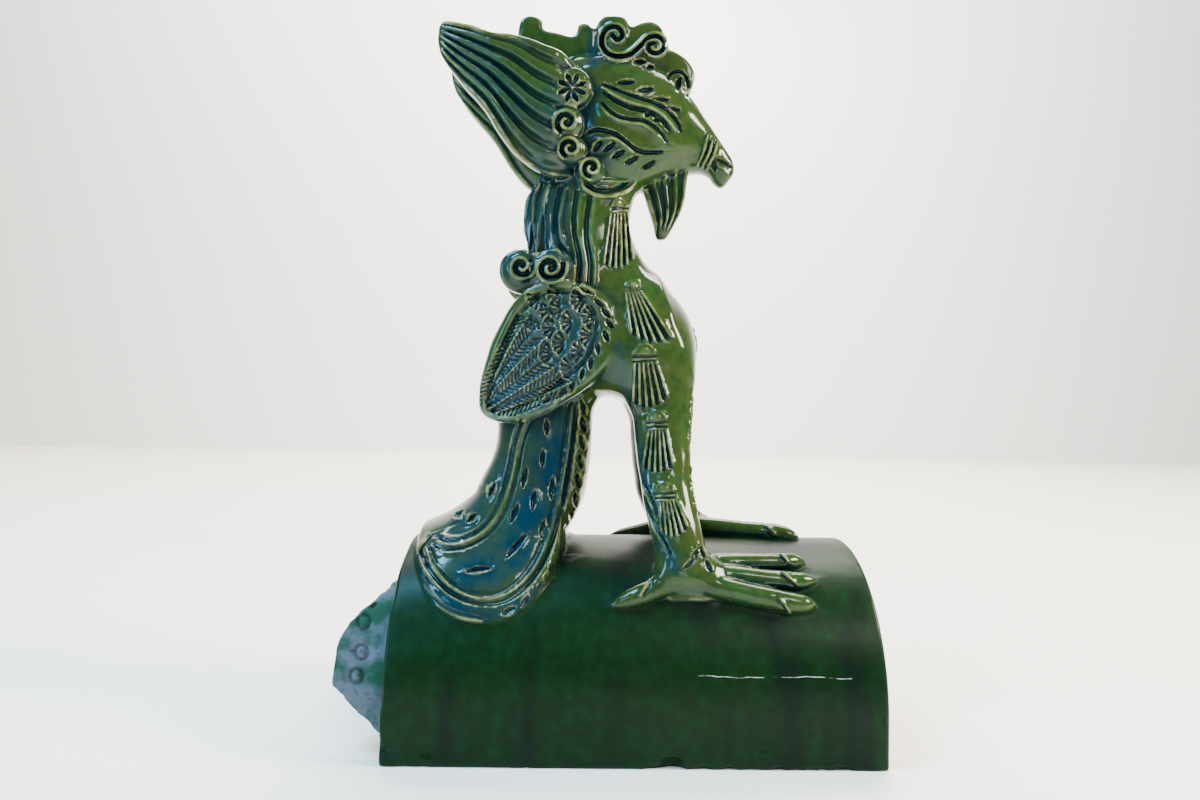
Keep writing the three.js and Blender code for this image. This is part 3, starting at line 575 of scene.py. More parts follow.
def build_bird():
    limb(NECK, 2.2, 2.0, relief=mane)
    limb(RUMP, 2.2, 14.0)
    for side, angle, lean in ((NEAR, NEAR_FOOT_ANGLE, 0), (FAR, FAR_FOOT_ANGLE, 8)):
        limb(leg_stations(side, angle, lean), 2.2, 9.0, relief=leg_front)
    limb(TAIL_ROOT + TAIL_SKIRT, 2.5, 8.0, cap=1.0)
    build_lobe()
    limb(HEAD, 2.3, 3.5, cap=2.5)
    for side, angle, spread, forward in ((NEAR, NEAR_FOOT_ANGLE, 9.5, 0), (FAR, FAR_FOOT_ANGLE, 15, 6)):
        foot(side, angle, spread, forward)
        build_wing(side)
        stations = [(*s[:4], side * s[4] * EAR_SPREAD, s[5]) for s in EAR]
        limb(stations, 2.8, 2.5, relief=ear_flutes(side))
        for x, z, radius, reach in SIDE_CURLS + MANE_CURLS:
            boss(x, z, radius, reach, 12, side)
        boss(*ROSETTE, 16, side)
    build_comb()
    limb(BEARD, 2.6, 2.5, cap=2.0, relief=beard_flutes)
    # Nothing of the bird reaches into the hollow
    where, x, y, z = window((LEFT - 2, -80, -5), (RIGHT + 5, 80, CREST))
    hollow = softer_max(arch(y, z, TILE_RADIUS - WALL), LEFT + SHOULDER - x, 1.0)
    cut(where, hollow, 0.5)


# The carving, drawn as the camera sees it in the picture's pixels. The far side mirrors it. Where strokes
# cross, the stronger one is kept.

FINE = 2    # cells of the drawing in a pixel
carved = np.zeros((PICTURE_HEIGHT * FINE, 1000 * FINE), np.float32)
raised = np.zeros_like(carved)
blue_and_shade_drawing = np.zeros_like(carved)


def stamp(target, points, half_width, height, power=2.0, taper=0.0):
    """A smooth stroke along points, height at its middle, kept where it is stronger."""
    points = np.asarray(points, float)
    reach = half_width + 1
    u0, v0 = np.floor((points.min(axis=0) - reach) * FINE).astype(int)
    u1, v1 = np.ceil((points.max(axis=0) + reach) * FINE).astype(int) + 1
    u0, v0 = max(u0, 0), max(v0, 0)
    v, u = np.mgrid[v0:v1, u0:u1] / FINE
    value = np.zeros(u.shape)
    last = max(len(points) - 2, 1)
    for i, (p, q) in enumerate(zip(points, points[1:])):
        d = q - p
        t = unit(((u - p[0]) * d[0] + (v - p[1]) * d[1]) / max(d @ d, 1e-9))
        off = np.hypot(u - p[0] - t * d[0], v - p[1] - t * d[1])
        along = (i + t) / (last + 1)
        wide = half_width * (1 - taper * np.abs(2 * along - 1) ** 3)
        value = np.maximum(value, unit(1 - (off / np.maximum(wide, 0.3)) ** 2) ** (power / 2))
    part = target[v0:v1, u0:u1]
    value = value[:part.shape[0], :part.shape[1]] * height
    part[...] = np.maximum(part, value)


def smooth(points, count=None):
    return spline(points, count or max(8, 6 * len(points)))


def groove(points, width=1.6, depth=1.1, taper=0.5, lips=0.35):
    line = smooth(points)
    stamp(carved, line, width, depth, taper=taper)
    if lips:
        for sign in (-1, 1):
            stamp(raised, offset(line, sign * (width + 0.8)), 1.3, lips, taper=taper)


def ridge(points, width=1.6, height=1.0, taper=0.5):
    stamp(raised, smooth(points), width, height, taper=taper)


def offset(line, distance):
    way = np.gradient(line, axis=0)
    way /= np.maximum(np.linalg.norm(way, axis=1)[:, None], 1e-6)
    return line + distance * np.stack([-way[:, 1], way[:, 0]], axis=1)


def drop(u, v, angle, length, width=2.8, depth=1.5, rim=0.6):
    """A seed-shaped cut with a raised lip. The angle is from right, downwards, in degrees."""
    turn = math.radians(angle)
    half = np.array([math.cos(turn), math.sin(turn)]) * length / 2
    bend = np.array([-half[1], half[0]]) * 0.12
    middle = np.array([u, v], float)
    line = smooth([middle - half, middle + bend, middle + half], 9)
    stamp(carved, line, width, depth, taper=0.95)
    if rim:
        for sign in (-1, 1):
            out = sign * np.array([-half[1], half[0]]) / max(length / 2, 1) * (width + 0.9)
            side = smooth([middle - half * 1.15, middle + out, middle + half * 1.15], 9)
            stamp(raised, side, 1.2, rim, taper=0.6)


def drops(rows, *sizes):
    for row in rows:
        drop(*row, *sizes)


def spiral(u, v, radius, start, turns, width=2.1, height=1.6, depth=1.6):
    """A raised line that winds inwards, clockwise in the picture, with a groove beside it."""
    turn = np.radians(np.linspace(start, start + 360 * turns, int(26 * turns)))
    reach = radius * np.linspace(1, 0.16, len(turn)) ** 0.9
    line = np.stack([u + reach * np.cos(turn), v + reach * np.sin(turn)], axis=1)
    stamp(raised, line, width, height)
    inner = reach - radius * 0.42 / turns
    keep = inner > 0.5
    line = np.stack([u + inner * np.cos(turn), v + inner * np.sin(turn)], axis=1)[keep]
    stamp(carved, line, width, depth)


FAN_RIBS = 5


def arc(u, v, radius, start, end):
    turn = np.radians(np.linspace(start, end, 12))
    return np.stack([u + radius * np.cos(turn), v + radius * np.sin(turn)], axis=1)


def fan(top, foot, cap, bars):
    """A shell-shaped fan: ribs from one row of points to another, under a half-moon cap."""
    (a, b), (c, d) = np.array(top, float), np.array(foot, float)

    def rib(target, share, width, height):
        head = a + (b - a) * share
        tail = c + (d - c) * share + np.array([0, 7.0 * (1 - (2 * share - 1) ** 2)])
        stamp(target, smooth([head, (head + tail) / 2, tail], 9), width, height)

    for i in range(FAN_RIBS + 1):
        rib(raised, i / FAN_RIBS, 1.7, 1.25)
        if i < FAN_RIBS:
            rib(carved, i / FAN_RIBS + 0.5 / FAN_RIBS, np.linalg.norm(d - c) / FAN_RIBS * 0.30, 1.2)
    cu, cv, r = cap
    stamp(raised, arc(cu, cv, r, 180, 360), 1.4, 1.1)
    stamp(raised, [(cu - 1, cv - r * 0.25), (cu + 1, cv - r * 0.25)], r * 0.72, 1.3)
    for i in range(bars):
        low = cv + 2.6 + 4.2 * i
        stamp(carved, [(cu - r * 1.05, low + 0.5), (cu + r * 1.05, low - 0.5)], 1.2, 1.2)
        stamp(raised, [(cu - r * 1.1, low + 2.6), (cu + r * 1.1, low + 1.6)], 1.2, 0.9)


def draw_head():
    groove([(603, 84), (620, 91), (640, 98), (655, 103), (668, 111), (677, 122), (681, 131)], 2.4, 2.0)
    ridge([(603, 88), (617, 96.5), (634, 103.5), (649, 107), (660, 112.5), (669, 121), (676, 131)], 2.4, 1.5)
    groove([(603, 92), (615, 101), (630, 108), (645, 111), (656, 116), (664, 123), (670, 131)], 2.0, 1.7)
    groove([(601, 102), (609, 110), (618, 116), (629, 119), (642, 120), (652, 125), (661, 133), (667, 142)],
        2.1, 1.7)
    ridge([(600, 106), (608, 114.5), (618, 120.5), (630, 123), (642, 124.5), (651, 130), (659, 138)], 2.2,
        1.2)
    drops([(648.5, 114.5, 150, 10), (657, 120, 155, 9)], 2.6, 1.8)
    drops([(626, 82, -4, 20), (645, 89.3, -6, 18), (661, 99, 4, 17), (673.5, 108.5, 14, 14)], 2.9, 1.9)
    groove([(587, 133), (594, 130), (604, 130.5), (617, 135), (628, 144), (639, 151), (650, 153), (662, 152)],
        2.8, 2.1)
    ridge([(592, 145), (600, 139), (613, 138.5), (624, 144), (633, 152)], 1.9, 1.2)
    drops([(597, 146, -55, 14), (609, 147, -38, 16), (618, 154, -30, 17), (631, 160, -28, 17),
        (648, 165, -32, 17), (679, 84, 105, 15)], 3.2, 2.0)
    for line in ([(697.5, 165), (704, 150), (708, 134)], [(702, 167), (709, 153), (713, 139)],
            [(707, 168.5), (714, 155), (717.5, 142)]):
        ridge(line, 1.9, 1.5)
    for line in ([(700, 166), (706.5, 151.5), (710.5, 136)], [(704.5, 168), (711.5, 154), (715.5, 140)]):
        groove(line, 1.2, 0.7, lips=0)
    drop(714.5, 166, 82, 13, 3.0, 1.9)
    groove([(714, 159), (724, 162.5), (733, 168)], 2.0, 1.8)
    ridge([(716, 165), (723, 169), (729, 175)], 1.9, 1.1)
    # Comb: an S of two scrolls, a curl over the brow, two notches
    big = smooth([(641, 45), (631, 54), (618, 57), (607, 53), (601.5, 43), (604, 32), (612, 26.5), (620, 29),
        (622.5, 36), (617, 40), (613, 36)], 40)
    small = smooth([(641, 45), (648, 38), (657, 36), (664, 42), (662.5, 50), (655, 53.5), (648.5, 50),
        (648.5, 44.5), (653, 43)], 34)
    for line in (big, small):
        stamp(carved, line, 2.5, 2.4)
        for grow in (3.6, -3.4):
            stamp(raised, offset(line, grow), 2.0, 1.2)
    groove([(668, 80), (671, 73.5), (679, 71.5), (686, 77), (688.5, 87), (686, 97)], 2.0, 1.8)
    drop(640, 62, 5, 13, 3.2, 1.8)
    drop(648, 67, 2, 13, 3.0, 1.6)
    # Rosette
    for i in range(8):
        turn = math.radians(22 + 45 * i)
        at = (572 + 8.6 * math.cos(turn), 87.5 + 8.9 * math.sin(turn))
        drop(at[0], at[1], math.degrees(turn), 13.5, 3.0, 2.4, 0.5)
    spiral(566.5, 121.5, 15, 125, 1.35)
    spiral(570, 147.5, 13.5, 120, 1.35)
    spiral(591.5, 167.5, 13, 100, 1.3)
    ridge([(580, 178), (585, 189), (597, 195.5), (612, 196), (628, 190), (636, 182)], 2.6, 2.2, 0.7)
    groove([(586, 180), (592, 188), (602, 191), (616, 189), (628, 183)], 2.6, 1.6, 0.8)
    ridge([(600, 181), (614, 181), (628, 181.5)], 1.8, 1.2)
    ridge([(640, 188), (652, 183), (664, 179), (676, 176)], 2.0, 0.9)


def draw_neck():
    strands = [[(528, 181), (521, 198), (518, 222), (520, 248)],
        [(543, 182), (538, 200), (535, 222), (534, 240), (531, 252)],
        [(561, 187), (557, 204), (555, 222), (557, 240), (563, 251)],
        [(577, 191), (574, 210), (574, 232), (579, 258), (578, 284)],
        [(590, 196), (587, 214), (586, 236), (590, 262), (589, 284)]]
    for line in strands:
        line = smooth(line, 40)
        stamp(carved, line, 2.4, 1.25)
        stamp(raised, offset(line, -4.8), 3.0, 0.9)
        stamp(raised, offset(line, 3.9), 1.8, 0.5)
    for line in ([(536, 184), (529, 204), (526.5, 226), (527, 247)],
            [(552, 186), (547, 204), (545, 224), (545.5, 243)],
            [(568.5, 190), (565.5, 206), (564.5, 226), (568, 246), (571, 262)]):
        stamp(carved, smooth(line, 40), 1.3, 0.6, taper=0.6)
    spiral(521.5, 266, 15.5, -20, 1.4, 2.3, 1.6, 1.7)
    spiral(550, 267.5, 18, -15, 1.6, 2.3, 1.6, 1.7)
    fan(((611, 215), (628, 215)), ((604, 262), (633, 257)), (619.5, 206, 7.5), 1)
    fan(((626, 292), (641, 291)), ((631, 332), (671, 336)), (633.5, 286, 7), 0)
    fan(((635, 364), (656, 361)), ((633, 401), (668, 396)), (644.5, 354, 10.5), 2)
    fan(((649, 431), (666, 430)), ((643, 465), (673, 464)), (656.5, 420, 9.5), 2)
    fan(((660, 503), (677, 501)), ((661, 531), (688, 526)), (664.5, 491, 9), 2)


def draw_wing():
    leaves = [(585.5, 290, 25), (599, 302.5, 40), (606.5, 313, 48), (610, 323.5, 55), (606.5, 336, 68),
        (598, 348, 82), (591, 363, 95), (582.5, 374, 102), (573, 386, 108), (563, 393, 130), (547, 400, 150)]
    drops(leaves, 14, 3.0, 1.6, 0.7)
    scales = [(561, 294, 165), (584, 299, 165), (595, 317, 180), (593, 336, 190), (584, 352, 188),
        (574, 367, 192), (541, 297, 140), (553, 309, 150), (574, 322, 180), (556, 327, 178), (566, 343, 182),
        (535, 316, 125), (553, 352, 178), (563, 307, 165)]
    for u, v, angle in scales:
        for k in (-2, -1, 0, 1, 2):
            turn = math.radians(angle + 27 * k)
            near = (u + 3 * math.cos(turn), v + 3 * math.sin(turn))
            away = (u + 13.5 * math.cos(turn), v + 13.5 * math.sin(turn))
            stamp(carved, [near, away], 1.35, 1.6)
        stamp(raised, arc(u, v, 15, angle - 70, angle + 70), 1.4, 0.85)
    spines = [[(530, 312), (509, 348), (490, 388), (483, 402)],
        [(546, 338), (521, 361), (498, 386), (486, 404)], [(558, 365), (530, 383), (506, 398), (489, 409)],
        [(577, 380), (550, 392), (520, 404), (496, 413)]]
    for line in spines:
        line = smooth(line, 40)
        stamp(raised, line, 1.1, 0.85)
        way = np.gradient(line, axis=0)
        way /= np.linalg.norm(way, axis=1)[:, None]
        along = np.concatenate([[0], np.cumsum(np.linalg.norm(np.diff(line, axis=0), axis=1))])
        for place in np.arange(3, along[-1] - 3, 5.0):
            at, w = (np.array([np.interp(place, along, row) for row in rows.T]) for rows in (line, way))
            side = np.array([-w[1], w[0]])
            wide = 8.5 * min(1, (along[-1] - place) / 30 + 0.25)
            for sign in (-1, 1):
                stamp(carved, [at + sign * side * 1.3, at + sign * side * wide + w * wide * 0.9], 1.3, 1.5)
    for line in ([(538, 324), (514, 352), (492, 386), (482, 403)],
            [(552, 355), (526, 374), (502, 393), (487, 406)],
            [(567, 371), (540, 388), (512, 402), (492, 412)]):
        stamp(carved, smooth(line), 1.3, 1.6)


def draw_tail():
    inner = smooth([(525, 422), (518, 445), (513.5, 470), (506, 496), (496, 517), (482, 533), (463, 542.5),
        (446, 544.5), (436, 541)], 50)
    stamp(raised, inner, 2.2, 1.05)
    for way in (-4.4, 4.4):
        stamp(carved, offset(inner, way), 1.6, 0.9)
        stamp(raised, offset(inner, way * 1.75), 1.2, 0.5)
    border = smooth([(572, 404), (568, 442), (562.5, 477), (556, 510), (547, 541), (537, 563), (522, 583),
        (503, 596), (483, 599), (463, 594), (446, 583), (432, 565), (426, 550)], 70)
    stamp(raised, border, 1.6, 0.85)
    stamp(carved, offset(border, 4.4), 2.1, 1.1)
    stamp(carved, offset(border, -4.8), 2.6, 1.5)
    stamp(raised, offset(border, -8.4), 1.4, 0.7)
    rim = smooth([(428, 533), (416, 550), (414, 568), (421, 588), (437, 606), (458, 617), (482, 622)], 40)
    stamp(raised, rim, 2.0, 0.8)
    stamp(carved, offset(rim, -4.0), 1.6, 1.0)
    leaves = [(583, 407, 72), (583.5, 424, 75), (582.5, 442, 77), (581, 461.5, 80), (578.5, 480.5, 82),
        (576, 500, 88), (573, 518.5, 66), (567.5, 537, 80), (562, 554, 100), (551.5, 571, 105),
        (541, 588.5, 110), (525, 602, 120), (509, 611, 150)]
    drops(leaves, 16, 3.4, 1.7, 0.9)
    seeds = [(547, 427, 88, 18), (543, 458, 95, 20), (525, 477, 102, 22), (552.5, 488, 95, 24),
        (534, 500, 98, 22), (515, 513, 110, 22), (543, 529, 100, 20), (517, 546, 130, 34),
        (478, 570, 172, 30), (492, 490, 115, 18), (472, 518, 140, 14), (458, 515, 145, 12)]
    drops(seeds, 2.9, 1.5, 0.8)


def draw_legs():
    for line in ([(636, 478), (645, 500), (652, 512)], [(643, 482), (652, 500), (659, 520)],
            [(645, 502), (655, 525), (663, 540)], [(655, 520), (664, 540), (672, 556)],
            [(626, 402), (631, 420)], [(629, 400), (635, 422), (637, 440)]):
        groove(line, 1.6, 1.1)
    drops([(690, 562, -42, 22), (695, 553, -50, 16), (703, 552, 70, 16), (709, 566, 65, 16)], 2.3, 1.1)
    # The claws' edges
    for u0, v0, u1, v1, way in ((767, 526, 776, 535, -3.0), (768, 530, 779, 543, -3.0),
            (780, 552, 789, 562, -3.0), (783, 572, 796, 584, -3.0), (780, 598, 791, 614, -3.0),
            (640, 596, 648, 583, 3.0)):
        middle = ((u0 + u1) / 2 - way * 0.3, (v0 + v1) / 2)
        stamp(raised, smooth([(u0, v0), middle, (u1, v1)], 9), 1.7, 1.1)
        beside = [(u0 + way, v0), ((u0 + u1) / 2 + way, (v0 + v1) / 2), (u1 + way, v1)]
        stamp(carved, smooth(beside, 9), 1.3, 0.9)
    # The rings on the spigot
    turn = np.radians(np.linspace(0, 360, 20))
    for u, v in ((375, 587), (371, 600), (364, 622), (362, 652), (357, 676)):
        stamp(carved, np.stack([u + 6.4 * np.cos(turn), v + 7.4 * np.sin(turn)], axis=1), 1.8, 1.5)


def shade():
    """Glaze pooling in blue-green, and in the same blue painted shade and painted reflection, as on the
    tail's back strip and along the toes' lower edges.
    """
    blue_strokes = [([(548, 415), (545, 470), (530, 520), (500, 560), (470, 575)], 30, 1.0),
        ([(418, 560), (430, 590), (470, 612), (520, 610), (545, 595)], 15, 1.0),
        # The first stroke here is painted shade and painted reflection on the tail's back strip
        ([(508, 430), (498, 480), (470, 520), (435, 545)], 16, 0.6), ([(540, 185), (540, 255)], 36, 0.72),
        ([(515, 262), (550, 268)], 24, 0.6),
        ([(500, 388), (530, 345), (560, 315), (582, 325), (572, 358), (530, 385), (495, 405)], 26, 0.75),
        ([(590, 108), (587, 124)], 9, 1.1), ([(566, 168), (576, 168)], 8, 1.0),
        ([(595, 34), (594, 60)], 9, 0.9),
        ([(635, 440), (645, 482), (655, 520), (668, 552), (675, 568)], 10, 0.6),
        # The second stroke here is painted shade along the lower edges of the near toes
        ([(597, 145), (612, 152)], 12, 0.4), ([(690, 603), (780, 615)], 5, 0.8),
        ([(618, 350), (630, 400), (634, 440)], 9, 0.5), ([(556, 95), (548, 130), (555, 165)], 16, 0.5),
        ([(662, 190), (664, 225)], 9, 0.4), ([(430, 40), (480, 60), (520, 110), (545, 150)], 22, 0.3)]
    for line, wide, strength in blue_strokes:
        stamp(blue_and_shade_drawing, smooth(line), wide, strength, power=1.6)


CARVING_DEPTH = 1.35
CARVING_BAND = 4.5    # how far from the surface the field is changed
SLAB = 40             # layers of the field that are worked on at once


def build_carving():
    """What the drawing lifts and cuts in the field, where its surface faces sideways."""
    for draw in (draw_head, draw_neck, draw_wing, draw_tail, draw_legs, shade):
        draw()
    changed = np.zeros(field.shape, np.float32)
    lift = CARVING_DEPTH * (raised - carved)
    all_y, all_z = (LOW[n] + CELL * np.arange(field.shape[n]) for n in (1, 2))
    over_tile = arch(all_y[:, None], all_z[None, :], TILE_RADIUS) > TILE_CLEAR
    for first in range(0, field.shape[0], SLAB):
        part = slice(max(first - 1, 0), min(first + SLAB + 1, field.shape[0]))
        block = field[part]
        near = np.abs(block) < CARVING_BAND
        spigot = LOW[0] + CELL * np.arange(part.start, part.stop) < LEFT + 2
        near &= spigot[:, None, None] | over_tile[None]
        own = slice(first - part.start, min(first + SLAB, field.shape[0]) - part.start)
        gx, gy, gz = np.gradient(block)
        near[:own.start] = False
        near[own.stop:] = False
        i, j, k = np.nonzero(near)
        if not len(i):
            continue
        x = LOW[0] + CELL * (i + part.start)
        y = LOW[1] + CELL * j
        z = LOW[2] + CELL * k
        u, v = seen_mirrored(x, y, z)
        steep = np.sqrt(gx[near] ** 2 + gy[near] ** 2 + gz[near] ** 2) + 1e-6
        facing = np.sign(y) * gy[near] / steep
        amount = sampled(lift, u, v) * unit((facing - 0.2) / 0.28)
        clear = np.where(x < LEFT + 2, 1, off_tile(y, z))
        changed[part.start + i, j, k] = (amount + waves(x, y, z, *SKIN_SWELL)) * clear
    return changed


def sampled(picture, u, v):
    """The drawing's value at pixels, blended between its cells."""
    a = np.clip(u * FINE, 0, picture.shape[1] - 2.001)
    b = np.clip(v * FINE, 0, picture.shape[0] - 2.001)
    i, j = a.astype(int), b.astype(int)
    f, g = a - i, b - j
    return ((picture[j, i] * (1 - f) + picture[j, i + 1] * f) * (1 - g)
            + (picture[j + 1, i] * (1 - f) + picture[j + 1, i + 1] * f) * g)


# The skin of the field

def value_at(points):
    """The field between its cells, at points in millimetres."""
    place = np.clip((points - LOW) / CELL, 0, np.array(field.shape) - 1.001)
    base = place.astype(int)
    f = (place - base).astype(np.float32)
    i, j, k = base.T
    total = 0
    for a in (0, 1):
        for b in (0, 1):
            for c in (0, 1):
                weight = ((f[:, 0] if a else 1 - f[:, 0]) * (f[:, 1] if b else 1 - f[:, 1])
                          * (f[:, 2] if c else 1 - f[:, 2]))
                total = total + weight * field[i + a, j + b, k + c]
    return total


def slope_at(points):
    """The field's direction of growth, measured over a little more than a cell."""
    steps = 0.9 * np.eye(3)
    slope = np.stack([value_at(points + step) - value_at(points - step) for step in steps], axis=1)
    return slope / np.maximum(np.linalg.norm(slope, axis=1)[:, None], 1e-6)


def skinned():
    """Vertices and four-sided faces where the field is nought."""
    inside = field < 0
    corners = sum(inside[a:a - 1 or None, b:b - 1 or None, c:c - 1 or None].astype(np.uint8)
                  for a in (0, 1) for b in (0, 1) for c in (0, 1))
    mixed = (corners > 0) & (corners < 8)
    places = np.nonzero(mixed)
    number = np.full(mixed.shape, -1, np.int32)
    number[places] = np.arange(len(places[0]), dtype=np.int32)
    i, j, k = places
    value = {(a, b, c): field[i + a, j + b, k + c] for a in (0, 1) for b in (0, 1) for c in (0, 1)}
    total = np.zeros((len(i), 3))
    hits = np.zeros(len(i))
    for axis in range(3):
        for b in (0, 1):
            for c in (0, 1):
                lower, upper = [b, c], [b, c]
                lower.insert(axis, 0)
                upper.insert(axis, 1)
                p, q = value[tuple(lower)], value[tuple(upper)]
                crossed = (p < 0) != (q < 0)
                t = np.where(crossed, p / np.where(crossed, p - q, 1), 0)
                at = np.tile(np.array(lower, float), (len(i), 1))
                at[:, axis] = t
                total += np.where(crossed[:, None], at, 0)
                hits += crossed
    vertices = LOW + CELL * (np.stack(places, axis=1) + total / hits[:, None])
    faces = []
    for axis in range(3):
        b, c = [n for n in range(3) if n != axis]
        first = [slice(None)] * 3
        second = [slice(None)] * 3
        first[axis], second[axis] = slice(None, -1), slice(1, None)
        change = inside[tuple(first)] != inside[tuple(second)]
        at = np.stack(np.nonzero(change), axis=1)
        keep = (at[:, b] > 0) & (at[:, c] > 0) & (at[:, b] < mixed.shape[b]) & (at[:, c] < mixed.shape[c])
        at = at[keep]
        steps = np.zeros((4, 3), int)
        steps[1, b] = steps[2, b] = -1
        steps[2, c] = steps[3, c] = -1
        quad = np.stack([number[tuple((at + s).T)] for s in steps], axis=1)
        inwards = inside[tuple(at.T)] == (axis != 1)
        quad[~inwards] = quad[~inwards][:, ::-1]
        faces.append(quad)
    return vertices, np.concatenate(faces)


def mesh_from(vertices, faces, name):
    mesh = bpy.data.meshes.new(name)
    mesh.vertices.add(len(vertices))
    mesh.vertices.foreach_set("co", np.asarray(vertices, np.float32).ravel())
    sides = faces.shape[1]
    mesh.loops.add(faces.size)
    mesh.loops.foreach_set("vertex_index", faces.astype(np.int32).ravel())
    mesh.polygons.add(len(faces))
    mesh.polygons.foreach_set("loop_start", np.arange(0, faces.size, sides, dtype=np.int32))
    mesh.update(calc_edges=True)
    mesh.validate()
    return mesh


def thinned(mesh, most):
    """The mesh with its flatter places in larger triangles, at most that many."""
    count = 2 * len(mesh.polygons)
    dense = bpy.data.objects.new("dense", mesh)
    bpy.context.scene.collection.objects.link(dense)
    thinner = dense.modifiers.new("thin", "DECIMATE")
    thinner.ratio = min(1.0, most / count)
    seen = dense.evaluated_get(bpy.context.evaluated_depsgraph_get())
    made = bpy.data.meshes.new_from_object(seen)
    bpy.data.objects.remove(dense)
    return made


def store(mesh, name, values):
    layer = mesh.attributes.new(name, "FLOAT", "POINT")
    layer.data.foreach_set("value", np.asarray(values, np.float32))


build_tile()
build_bird()
chip_tile()
field -= build_carving()

mesh = thinned(mesh_from(*skinned(), "dense"), MOST_TRIANGLES)
mesh.name = NODE + "_skin"
points = np.empty(3 * len(mesh.vertices), np.float32)
mesh.vertices.foreach_get("co", points)
points = points.reshape(-1, 3).astype(float)

box_low, box_high = (np.array(corner) * MM for corner in box_before)
points = np.clip(points, box_low, box_high)
normals = slope_at(points)
u, v = seen_mirrored(*points.T)
sideways = unit((np.sign(points[:, 1]) * normals[:, 1] + 0.1) / 0.4)
is_bird = off_tile(points[:, 1], points[:, 2])
shown = sideways * is_bird

# How deep a point lies in a hollow, on a ridge and under something else, from the field some way off the skin
HOLLOW_REACH, RIDGE_REACH, SHADE_REACH = 2.4, 1.8, 7.0
hollowed = value_at(points + HOLLOW_REACH * normals) - HOLLOW_REACH
humped = value_at(points - RIDGE_REACH * normals) + RIDGE_REACH
shade_depth = SHADE_REACH - value_at(points + SHADE_REACH * normals)
store(mesh, "cavity", unit(np.maximum(-hollowed / 1.7, 0.42 * sampled(carved, u, v) * shown)) * is_bird)
store(mesh, "crest", unit(np.maximum(humped, 0.55 * sampled(raised, u, v) * shown)) * is_bird)
# Glaze pooling, with painted shade and painted reflection in the same blue
store(mesh, "blue_glaze_and_shade", sampled(blue_and_shade_drawing, u, v) * sideways * is_bird)
store(mesh, "bare", unit((LEFT - 0.6 - points[:, 0]) / 0.8))
store(mesh, "bird", is_bird)
# Painted shade: a darker teal where the skin lies under or between other parts
store(mesh, "painted_shade", unit(shade_depth / 6.0) * is_bird)

mesh.vertices.foreach_set("co", (points / MM).astype(np.float32).ravel())
mesh.update()
mesh.shade_smooth()
mesh.normals_split_custom_set_from_vertices(normals.tolist())


# Glaze

GREEN, WARM_GREEN, DEEP_GREEN = (0.020, 0.050, 0.0095), (0.030, 0.043, 0.008), (0.005, 0.022, 0.006)
# The first blue is glaze pooling together with painted shade and painted reflection; the teal after it is
# painted shade
GLAZE_AND_SHADE_BLUE, PAINTED_SHADE_TEAL, CAVITY_DARK = (0.000, 0.020, 0.040), (0.001, 0.016, 0.015), (0.000, 0.008, 0.015)
OLIVE, PALE = (0.100, 0.125, 0.026), (0.40, 0.41, 0.16)
TILE_GREEN, TILE_WARM = (0.0004, 0.0120, 0.0016), (0.0022, 0.0125, 0.0018)
TILE_GRAIN, TILE_STREAK = (0.0012, 0.021, 0.0048), (0.0003, 0.0032, 0.0024)
CLAY, CLAY_GREEN, CLAY_SPECK = (0.085, 0.105, 0.125), (0.012, 0.055, 0.030), (0.035, 0.040, 0.050)
CRACK = (0.45, 0.45, 0.42)
# Metres: the crack's height, half its thickness, its middle and half its length
CRACK_Z, CRACK_HALF, CRACK_X, CRACK_REACH = 0.0476, 0.00017, 0.092, 0.043
TILE_ROUGHNESS, BIRD_ROUGHNESS, BARE_ROUGHER, BIRD_COAT = 0.38, 0.13, 0.45, 0.29

glaze = bpy.data.materials.new("green glaze")
glaze.use_nodes = True
TREE = glaze.node_tree


def node(kind, **settings):
    made = TREE.nodes.new(kind)
    for key, value in settings.items():
        setattr(made, key, value)
    return made


def feed(socket, value):
    if isinstance(value, bpy.types.NodeSocket):
        TREE.links.new(value, socket)
    else:
        socket.default_value = value


def mixed_colour(factor, a, b):
    """Colour a, turning to b where the factor is one."""
    made = node("ShaderNodeMix", data_type="RGBA")
    for name, value in (("Factor", factor), ("A", a), ("B", b)):
        socket = [s for s in made.inputs if s.name == name and s.enabled][0]
        feed(socket, (*value, 1) if isinstance(value, tuple) else value)
    return [s for s in made.outputs if s.enabled][0]


def calculated(operation, a, b, third=None, clamp=False):
    made = node("ShaderNodeMath", operation=operation, use_clamp=clamp)
    feed(made.inputs[0], a)
    feed(made.inputs[1], b)
    if third is not None:
        made.inputs[2].default_value = third
    return made.outputs[0]


def times(a, b, clamp=False):
    return calculated("MULTIPLY", a, b, clamp=clamp)


def attribute(name):
    return node("ShaderNodeAttribute", attribute_name=name).outputs["Fac"]


def noise(scale, detail, stretch=None):
    place = node("ShaderNodeTexCoord").outputs["Object"]
    if stretch:
        mapping = node("ShaderNodeMapping")
        mapping.inputs["Scale"].default_value = stretch
        TREE.links.new(place, mapping.inputs["Vector"])
        place = mapping.outputs["Vector"]
    made = node("ShaderNodeTexNoise")
    made.inputs["Scale"].default_value = scale
    made.inputs["Detail"].default_value = detail
    TREE.links.new(place, made.inputs["Vector"])
    return made.outputs["Fac"]


def spread(value, low, high, to_low=0.0, to_high=1.0):
    """The value, with low to high spread from to_low to to_high."""
    made = node("ShaderNodeMapRange", clamp=True)
    for name, number in (("From Min", low), ("From Max", high), ("To Min", to_low), ("To Max", to_high)):
        made.inputs[name].default_value = number
    TREE.links.new(value, made.inputs["Value"])
    return made.outputs["Result"]


